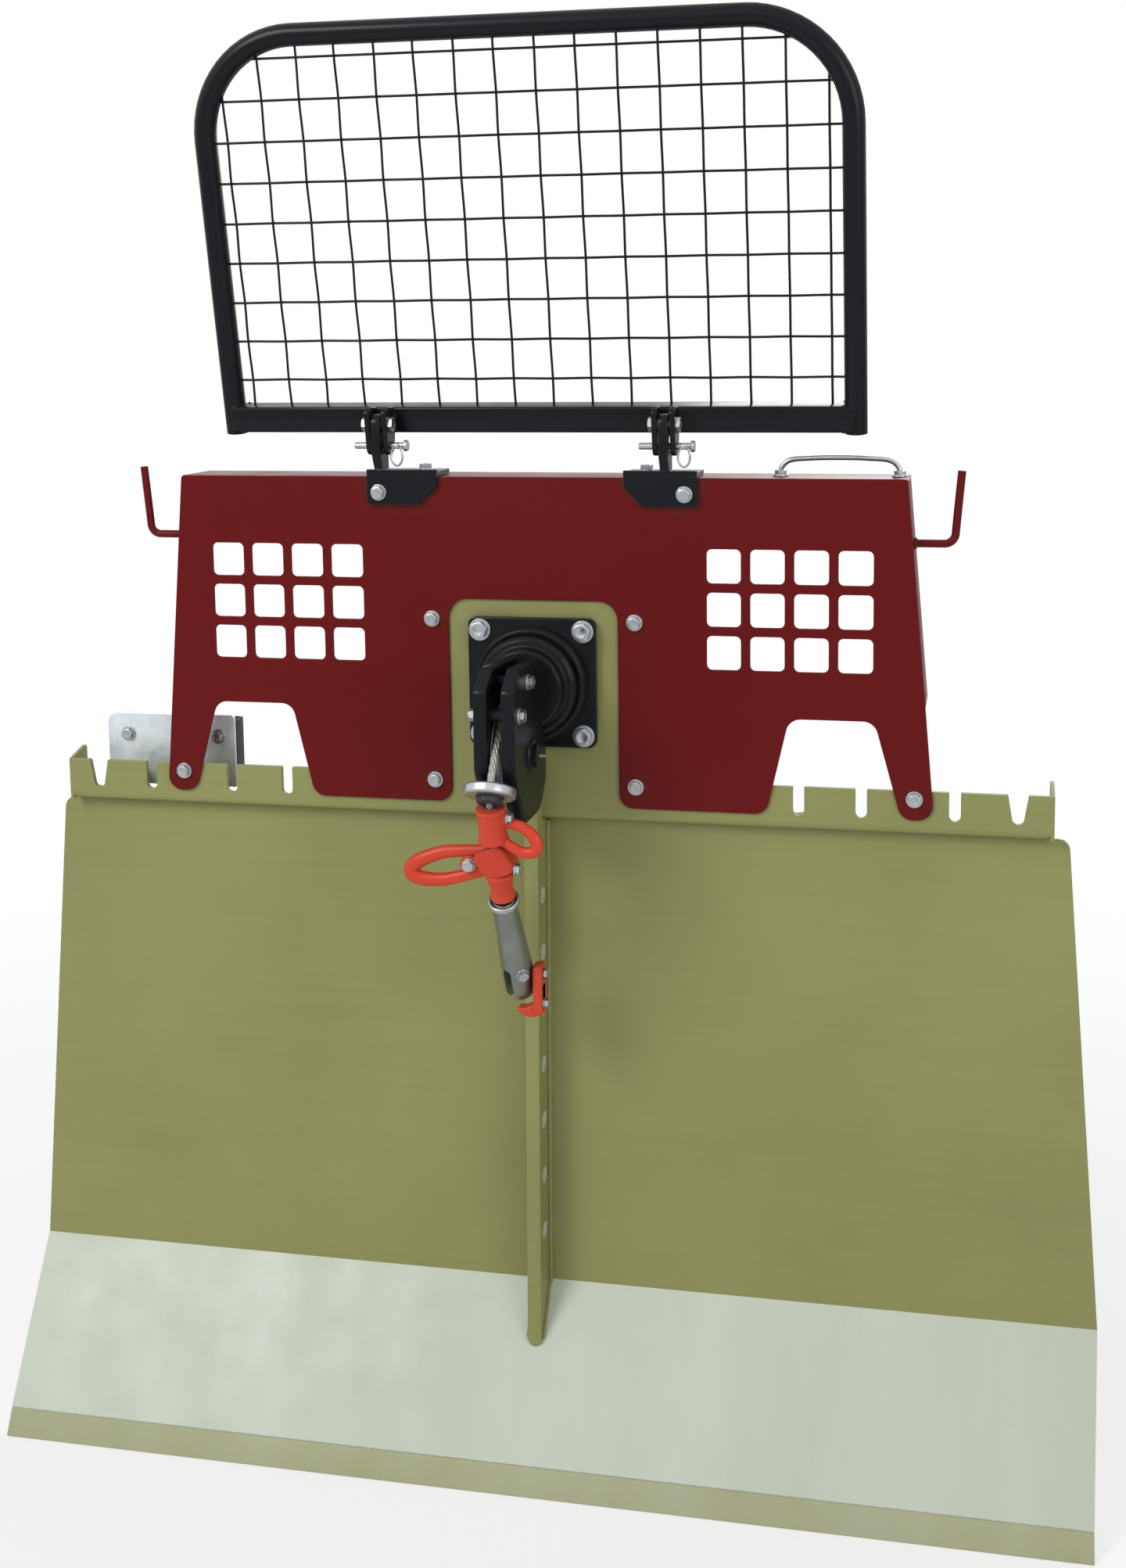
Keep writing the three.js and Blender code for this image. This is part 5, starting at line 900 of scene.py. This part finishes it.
wires = []
for i in range(16):
    x, height = -450 + MESH * i, SHOULDER + round_corner(abs(-450 + MESH * i) - CORNER)
    wires.append(tube([GP(x, v, wave(i, (v - 60) / MESH)) for v in steps(18, height - 20, int((height - 18) / 7.5))],
            WIRE, 8))
for k in range(9):
    v, reach = 60 + MESH * k, CORNER + round_corner(60 + MESH * k - SHOULDER) - 4
    wires.append(tube([GP(x, v, -wave(k, (x + 450) / MESH)) for x in steps(-reach, 2 * reach, int(2 * reach / 7.5))],
            WIRE, 8))
build("guard_crimped_mesh", wires, "black_paint", "guard", "guard_mesh", angle=60)

for label, _, x in clevises:
    tip, ring_x = x + 39.5, x + 29.5
    clip = [P(ring_x, LOCK.y + dy, LOCK.z) for dy in (7, 0, -9)]
    clip += [P(ring_x + 9 * cos(a), LOCK.y - 9, LOCK.z - 15 + 15 * sin(a)) for a in steps(0.5 * pi, 1.8 * pi, 24)]
    dress(f"lock_pin_{label}", "rod", [
        rod(5, (x - 39.5, LOCK.y, LOCK.z), (tip, LOCK.y, LOCK.z), 20),
        rod(8.5, (tip - 1, LOCK.y, LOCK.z), (tip + 5, LOCK.y, LOCK.z), 24),
        tube(clip, 1.7, 10, ends=0.5),
        lathe([(0, -3), (3.4, -2), (3.4, 2), (0, 3)], (ring_x, LOCK.y - 8.5, LOCK.z), Y, 16),
    ], "zinc", f"{label}_lock")

py, pz, notch_y, notch_z, r = PIV.y, PIV.z, LOCK.y - 5.6, LOCK.z - 5.6, 16
LEDGE_Z = 1538.3
lug = [(-4.3, 1531.3), (-4.3, LEDGE_Z), (py - r, notch_z - 5, 9), (py - r, pz + r, 15.5), (py + r, pz + r, 15.5),
       (py + r, pz - r * 0.9, 10), (notch_y, pz - r * 1.2, 2), (notch_y, notch_z), (py + r * 1.6, notch_z, 2),
       (py + r * 1.6, 1531.3)]
face = ((144, 1541, 1), (144, 1516, 2), (173, 1487, 3), (255, 1487, 7), (255, 1541, 1))
ledge = [(-8.1, 1533), (-8.1, LEDGE_Z, 5), (62, LEDGE_Z, 1), (62, 1530.5, 1), (-1, 1530.5), (-1, 1533)]
for label, s, x in clevises:
    dress(f"guard_bracket_{label}", "angle", [
        sheet([(s * u, *rest) for u, *rest in face], 8, front(-8.3), (), 1.2),
        sheet(ledge, 110.4, side(min(s * 144, s * 255) + 0.3), (), 0.8),
        sheet(lug, 14, side(x - 7), [circle(py, pz, 7.6, 28)], 1.2, 8),
        *(seam(x + dx, range(0, 24, 4), 1539.2, 2.2) for dx in (-8.4, 8.4))], "black_paint")
    build(f"guard_bracket_{label}_bolts", bolt((s * 236, -8.3, 1506), Y, 12.5, 2.5, 10, 7, 5, 18)
          + bolt((s * 173, 31, LEDGE_Z), (0, 0, -1), 11, 2.2, 9.5, 7, 5, 10), "zinc")


# --- blade: each plate's end lies buried in the other one where they meet
def leaning(a, b):
    """A place on a plate that leans from one (Y, Z) place to another, with its depth behind it."""
    along = Vector((b[0] - a[0], b[1] - a[1])).normalized()
    return lambda u, v, w: P(u, a[0] + along.x * v + along.y * w, a[1] + along.y * v - along.x * w)


BURIED, blade_len, lip_len = 1.8, dist(START, TOP), dist(LIP, START)
dress("blade_plate", "sheet", [sheet([
    (-853, -BURIED), (853, -BURIED), (800, blade_len, 17), (-800, blade_len, 17)], 6, leaning(START, TOP), (), 1.2)])
dress("blade_lip", "sheet", [sheet([(-844, 0), (844, 0), (853, lip_len), (853, lip_len + BURIED),
        (-853, lip_len + BURIED), (-853, lip_len)], 6, leaning(LIP, START), (), 1)],
      "lip_paint")
dress("cutting_edge", "bar", [sheet([(-150.17, 38.76, 2), (-170, 0, 2), (-142, 0, 1), (-138.78, 30.62, 2)], 1688,
        side(-844), (), 1.4)], "edge_paint")
build("blade_welds", [seam(range(-830, 831, 20), -136.5, 33.5, 3.2), seam(range(-765, 766, 20), 36.6, 997.5, 2.8)])

# --- chain drive: a 16B chain of 56 links sets how high the drum lies above the PTO shaft
DRUM_X, PTO_Z, CHAIN_Y, TEETH, SMALL, CHAIN, LINKS = 150, 300, 221.7, 48, 12, 25.4, 56
LARGE_R, SMALL_R = (CHAIN / 2 / sin(pi / n) for n in (TEETH, SMALL))


def chain_length(distance):
    step = LARGE_R - SMALL_R
    return ((TEETH + SMALL) / 2 + asin(step / distance) / pi * (TEETH - SMALL)
            + 2 * sqrt(distance ** 2 - step ** 2) / CHAIN)


low, high = LARGE_R, LARGE_R * 2
for _ in range(50):
    middle = (low + high) / 2
    low, high = (middle, high) if chain_length(middle) < LINKS else (low, middle)
DRUM_Z = PTO_Z + sqrt(low ** 2 - DRUM_X ** 2)
DRUM, PTO = (DRUM_X, 0, DRUM_Z), (0, 0, PTO_Z)
to_drum, lean = atan2(DRUM_Z - PTO_Z, DRUM_X), asin((LARGE_R - SMALL_R) / low)
run_links = sqrt(low ** 2 - (LARGE_R - SMALL_R) ** 2) / CHAIN
wrap_large, wrap_small = ((pi + s * lean * 2) / tau * n for s, n in ((1, TEETH), (-1, SMALL)))
large_from, small_from = to_drum - pi / 2 - lean, to_drum + pi / 2 + lean


def chain_place(t):
    """Where the chain's roller t lies: round the large wheel, down, round the small wheel and up."""
    def large(k):
        a = large_from + k / TEETH * tau
        return Vector((DRUM_X + LARGE_R * cos(a), DRUM_Z + LARGE_R * sin(a)))

    def small(k):
        a = small_from + k / SMALL * tau
        return Vector((SMALL_R * cos(a), PTO_Z + SMALL_R * sin(a)))

    if t <= wrap_large:
        return large(t)
    if t <= wrap_large + run_links:
        return large(wrap_large).lerp(small(0), (t - wrap_large) / run_links)
    t -= wrap_large + run_links
    return small(t) if t <= wrap_small else small(wrap_small).lerp(large(0), (t - wrap_small) / run_links)


def toothed(teeth, radius, gap, x, z):
    """A sprocket's outline: a round seat for every roller and a blunt tip between."""
    out = []
    for a in (gap + i * tau / teeth for i in range(teeth)):
        m, r = a + pi / teeth, radius + 6.4
        seat = [(a, radius - 8.3 * cos(b), 8.3 * sin(b)) for b in map(radians, (-58, -40, -20, 0, 20, 40, 58))]
        seat += [(m, r, -2.3), (m, r, 2.3)]
        out += [(x + r * cos(c) - t * sin(c), z + r * sin(c) + t * cos(c)) for c, r, t in seat]
    return out


small_gap = small_from + (ceil(wrap_large + run_links) - wrap_large - run_links) / SMALL * tau
dress("drive_sprocket", "wheel", [
    sheet(toothed(TEETH, LARGE_R, large_from, DRUM_X, DRUM_Z), 12, front(CHAIN_Y - 6),
        [circle(DRUM_X + x, DRUM_Z + z, 17.6) for x, z in around(4, 65.3)] + [circle(DRUM_X, DRUM_Z, 20.6, 40)], 0.8),
    lathe([(110, 205.7, 1), (168.8, 205.7, 1), (168.8, 221.7), (110, 221.7)], DRUM, Y, 96),
], "cast_iron", "sprocket")
turns = [((i + 0.5) / 24 * tau, 15 if (i // 2) % 2 else 17.5) for i in range(24)]
dress("pto_shaft", "turned", [
    rod(17.5, (0, 48.3, PTO_Z), (0, 268.9, PTO_Z), 40),
    sheet(toothed(SMALL, SMALL_R, small_gap, 0, PTO_Z), 12, front(CHAIN_Y - 6), (), 0.8),
    lathe([(17, 205.7), (34, 205.7, 1), (34, 215.9), (17, 215.9)], PTO, Y, 48),
    sheet([(r * cos(a), PTO_Z + r * sin(a)) for a, r in turns], 76.1, front(268.7), (), 1),
], "bare_steel", "pto")


def chain_plate(a, b, y, thick):
    """A waisted link plate between two rollers."""
    along = (b - a).normalized()
    out = Vector((-along.y, along.x))
    pts = []
    for center, start in ((b, -90), (a, 90)):
        turns = (radians(start + d) for d in range(0, 181, 20))
        pts += [center + along * cos(t) * 9.8 + out * sin(t) * 9.8 for t in turns]
        pts.append((a + b) / 2 + out * (8 if start < 0 else -8))
    return sheet([(p.x, p.y) for p in pts], thick, front(y), (), 0.5)


places = [chain_place(i) for i in range(LINKS)]
chain_parts = []
for i, p in enumerate(places):
    gap, thick = (6.5, 2.4) if i % 2 else (9.1, 2.3)
    chain_parts += [chain_plate(p, places[(i + 1) % LINKS], y, thick) for y in (CHAIN_Y - gap - thick, CHAIN_Y + gap)]
    chain_parts += [rod(r, (p.x, CHAIN_Y - reach, p.y), (p.x, CHAIN_Y + reach, p.y), n)
            for r, reach, n in ((7.7, 6.4, 20), (4, 12.4, 14))]
dress("drive_chain", "links", chain_parts, "bare_steel")

# --- drum and rope
dress("rope_drum", "turned", [lathe([
    (20.6, 51.9), (30, 51.9, 1), (30, 63.9, 3), (181, 63.9, 3), (181, 51.9, 1), (190, 51.9, 1), (190, 68, 1.5),
    (110, 68, 1), (110, 196.1, 1), (190, 196.1, 2), (190, 205.1, 2), (20.6, 205.1)], DRUM, Y, 96)],
    "bare_steel", "drum")
layer = [(110.3, 68.3), (136, 68.3)]
for y in (68.3 + 11.58 * (i + 0.5) for i in range(11)):
    layer += [(136.2 + 5.5 * sin(a), y - 5.6 * cos(a)) for a in (pi * (k + 0.5) / 7 for k in range(7))]
dress("rope_layers", "wound", [lathe(layer + [(136, 195.7), (110.3, 195.7)], DRUM, Y, 96)], "wire_rope", "drum")
dress("drum_shaft", "turned", [
    rod(20, (DRUM_X, 45.2, DRUM_Z), (DRUM_X, 262, DRUM_Z), 40, 1.5),
    hexagon(31.8, (DRUM_X, 48.2, DRUM_Z), Y, 3, 0),
    lathe([(19.8, 250.4), (34, 250.4, 2), (34, 258, 2), (19.8, 258)], DRUM, Y, 40)], "bare_steel")
winding = [P(DRUM_X + 150 * cos(pi + a), 190 - 11.6 * a / tau, DRUM_Z + 150 * sin(pi + a))
        for a in (radians(5 * i) for i in range(720, -1, -1))]
lead = [winding[0] + (winding[0] - winding[1]).normalized() * 0.011]
rope("winch_rope", lead + winding + [P(0, 190, z) for z in (700, 900, 1100)] + over(INNER, steps(0, pi / 2, 24))
     + [P(0, 30, HEAD_Z), P(0, -27, HEAD_Z)], 3.2, 24, "winch")


# --- welded frame
def blade_back(z):
    return blade_front(z) + 6.3


WALL, TOP_FACE, REAR_FACE, SHAFT_BORE = 379.7, 962.3, 250.3, 20.3
PIN_X, PIN_Y, PIN_Z = 391, 205, 420
side_outline = [(blade_back(962), 962, 1), (blade_back(253.99), 253.99), (5 + (90 - 256) * 0.714286 + 7.67, 90, 1),
        (202, 90, 4), (262, 150, 4), (262, 962, 2)]
for label, s in SIDES:
    pin = (s * PIN_X, PIN_Y, PIN_Z)
    dress(f"side_plate_{label}", "sheet", [
        sheet(side_outline, 12, side(386 * s - 6), (), 1.4),
        lathe([(0, 0), (14, 0), (14, 94, 2), (11.5, 96), (0, 96)], pin, (s, 0, 0), 40),
        lathe([(13.9, 0), (25.2, 0), (25.2, 13, 2), (13.9, 13)], pin, (s, 0, 0), 40),
        bead([(s * (PIN_X + 2), PIN_Y + 26.5 * cos(a), PIN_Z + 26.5 * sin(a)) for a in steps(0, tau, 24)], 2.8)])
dress("front_plate", "sheet", [
    sheet(rect(-WALL, 330, WALL, 962), 6, front(42), [circle(DRUM_X, DRUM_Z, SHAFT_BORE, 40)], 1),
    rod(8, (-78, 47, 553), (-78, 67, 553), 28), hexagon(13, (-78, 62.6, 553), Y, 4.4)])
dress("rear_plate", "sheet", [
    sheet([(-95, 210.3), (95, 210.3), (WALL, 442.03), (WALL, 662.03), (95, 662.03, 8), (-95, 395, 8)], 10, front(240),
        [circle(DRUM_X, DRUM_Z, SHAFT_BORE, 40), circle(0, PTO_Z, 18.1, 40)], 1.2),
    rod(8, (240, 249, 620), (240, 267, 620), 28)])
for label, z in (("lower", 180), ("upper", 932)):
    dress(f"{label}_cross_tube", "wall", [sheet(rect(202, z - 30, 262, z + 30, 6), 759.4, side(-WALL),
            [fillet(rect(208, z - 24, 256, z + 24, 3), 4)], 1)])
dress("top_plate", "sheet", [sheet([(-WALL, 48.3), (WALL, 48.3), (WALL, 201.7), (18, 201.7), (18, 154, 6),
        (-18, 154, 6), (-18, 201.7), (-WALL, 201.7)], 8, top(954), (), 1)])
post = [(48, TOP_FACE), (48, 1014, 6), (12.6, 1038, 6), (12.6, 1175.4), (23.2, 1175.4, 2), (23.2, 1260.6, 2),
        (12.6, 1260.6), (12.6, 1290), (206, 1290, 30), (206, TOP_FACE)]
dress("pulley_post", "plates", [
    *(sheet(post, 8, side(x), [circle(*INNER, AXLE_BORE)], 1.2) for x in (-17.6, 9.6)),
    sheet(rect(-17.6, 12.6, 17.6, 176), 8, top(1282), (), 0.8),
    sheet(rect(-35.2, 48, 35.2, 154, 3), 8, top(TOP_FACE), (), 1.2),
    *(seam(s * 18.4, range(52, 152, 6), 971.6, 2.6) for s in (-1, 1))])
dress("inner_pulley_axle", "turned", [
    rod(12, (-26.6, *INNER), (23.6, *INNER), 32),
    hexagon(18, (17.9, *INNER), X, 8.7), hexagon(18, (-17.9, *INNER), (-1, 0, 0), 6.5)], "bare_steel")
frame_welds = []
for s in (-1, 1):
    frame_welds += [seam(s * 379.2, 49.4, range(340, 950, 10), 2.8), seam(s * 378.8, 201.2, range(154, 208, 6), 2.8),
            seam(s * 378.8, 201.2, range(906, 950, 6), 2.8), seam(s * 379.2, 251.2, range(446, 660, 8), 2.8)]
    frame_welds += [bead([(s * x, blade_back(z) + 1.2, z) for z in range(262, 960, 12)], 2.8) for x in (378.8, 393.2)]
build("frame_welds", frame_welds)

for node, x, y, z, tip, body in (("brake_lever", -78, 52, 553, 900, "brake"),
        ("clutch_lever", 240, 252, 620, 890, "clutch")):
    dress(node, "bar", [sheet([
        (x - 17, z - 34, 17), (x + 17, z - 34, 17), (x + 11.3, tip, 8.5), (x - 11.3, tip, 8.5)],
        10, front(y), [circle(x, z, 8.6), circle(x, tip - 17, 4)], 1.6)], "bare_steel", body)
build("lever_retainers", [lathe([(7.8, 0), (14, 0), (14, 2.4, 0.6), (7.8, 2.4)], (240, 262.4, 620), Y, 32)], "zinc")
band_turns = [radians(-166 + i * 332 / 96) for i in range(97)]
band = [(DRUM_X + r * cos(a), DRUM_Z + r * sin(a)) for r, line in ((194.4, band_turns), (190.8, band_turns[::-1]))
        for a in line]
dress("brake_band", "strip", [sheet(band, 16, front(51.9), (), 0.6)], "black_paint")

ear_side = [(202, TOP_FACE), (262, TOP_FACE), (303, 982, 28), (303, 1038, 28), (247, 1038, 28)]
dress("top_link_ears", "plates", [
    *(sheet(ear_side, 12, side(x), [circle(275, 1010, 12.8)], 1.6, 8) for x in (-40, 28)),
    sheet(rect(-29, 206.6, 29, 262), 12, top(TOP_FACE), (), 1),
    *(seam(s * 41.2, range(205, 262, 6), 963.6, 2.8) for s in (-1, 1))])
dress("top_link_pin", "turned", [
    lathe([(0, 0), (10, 0), (12.5, 5, 1), (12.5, 117.5), (0, 117.5)], (-65, 275, 1010), X, 40),
    lathe([(12.3, 0), (20, 0, 1.5), (20, 12, 2), (0, 12), (0, 2), (12.3, 2)], (40.4, 275, 1010), X, 40)], "zinc")

STAND_X, STAND_Y = -160, 292.9


def square_ring(h, r):
    return fillet(rect(STAND_X - h, STAND_Y - h, STAND_X + h, STAND_Y + h, r), 4)


dress("stand_sleeve", "wall", [sheet(square_ring(30.6, 5), 180, top(150), [square_ring(25.6, 2)], 1),
        *(seam(STAND_X + dx, 263.6, range(156, 208, 6), 2.6) for dx in (-28, 28))])
stand = dress("parking_stand", "leg", [sheet(square_ring(25, 4), 475.2, top(4.8), [square_ring(20, 2)], 0.8),
        sheet(square_ring(25, 3), 5, top(0), (), 0.8)], "cast_iron", "stand")
carve(stand, [rod(6.2, (STAND_X - 40, STAND_Y, z), (STAND_X + 40, STAND_Y, z), 24) for z in range(60, 460, 50)])

dress("pto_bearing", "housing", [lathe([
    (18.1, REAR_FACE), (51.7, REAR_FACE), (51.7, 268.3, 2), (42, 268.3, 1), (40, 265.5, 1), (30, 265.5, 1),
    (28, 268.3, 1), (18.1, 268.3)], PTO, Y, 64)], "cast_iron")
dress("pto_guard", "cone", [lathe([
    (52, REAR_FACE), (85, REAR_FACE, 2), (85, 254.3, 1.5), (58, 254.3, 3), (85, 374, 1), (85, 378, 1), (81, 378, 1),
    (54, 257, 2), (52, 254.3, 1)], PTO, Y, 96)], "plastic")
build("pto_guard_screws", [p for x, z in around(4, 71, 0.5)
        for p in bolt((x, 254.3, PTO_Z + z), (0, -1, 0), 8.5, 1.6, 7, 5, 3.8, 8)], "zinc")

# --- CAD nodes that stay as they are get their materials
for row in frame["record"]["subparts"]:
    for place in frame["nodes"][row["node"]].material_slots:
        place.material = M[row["material_slot"]]

# --- floor, world and lamps
GROUND, DOWN = 40, -0.0006
me = bpy.data.meshes.new("floor")
me.from_pydata([(u, v, DOWN) for u, v, _ in rect(-GROUND, -GROUND, GROUND, GROUND)], [], [(0, 1, 2, 3)])
floor = new_object("floor", me)
me.materials.append(bpy.data.materials.new("floor"))
n = Nodes(me.materials[0])
n.shader.inputs["Base Color"].default_value = (0.88, 0.88, 0.88, 1)
n.shader.inputs["Roughness"].default_value = 0.9
away = n.node("ShaderNodeVectorMath", operation="LENGTH")
n.put(away.inputs[0], n.place())
fade = n.span(away.outputs["Value"], 0.9, 3.4, 0.62, 1)
fade.node.interpolation_type = "SMOOTHSTEP"
mix = n.node("ShaderNodeMixShader")
n.put(mix.inputs[0], n.times(n.node("ShaderNodeLightPath").outputs["Is Camera Ray"], fade))
n.put(mix.inputs[1], n.shader.outputs[0])
n.put(mix.inputs[2], n.node("ShaderNodeEmission", Strength=1).outputs[0])
n.put(next(o for o in n.tree.nodes if o.type == "OUTPUT_MATERIAL").inputs["Surface"], mix.outputs[0])

scene.world = bpy.data.worlds.new("studio")
n = Nodes(scene.world, "BACKGROUND")
n.shader.inputs["Color"].default_value = (1, 1, 1, 1)
rays = n.node("ShaderNodeLightPath").outputs
seen = n.math("MAXIMUM", n.math("MAXIMUM", rays["Is Camera Ray"], rays["Is Glossy Ray"]), rays["Is Transmission Ray"])
n.put(n.shader.inputs["Strength"], n.span(seen, 0, 1, 0.48, 1))


def lamp(name, place, size, power):
    data = bpy.data.lights.new(name, "AREA")
    data.shape, data.size, data.energy = "DISK", size, power
    ob = new_object(name, data)
    ob.location = place
    ob.rotation_euler = (Vector(Z) - ob.location).to_track_quat("-Z", "Y").to_euler()


lamp("key", (-2.6, -3.6, 4.2), 2.2, 125)
lamp("fill", (3.6, -3.2, 2.4), 2.6, 42)
lamp("back", (1, 3.6, 3.4), 2.6, 70)
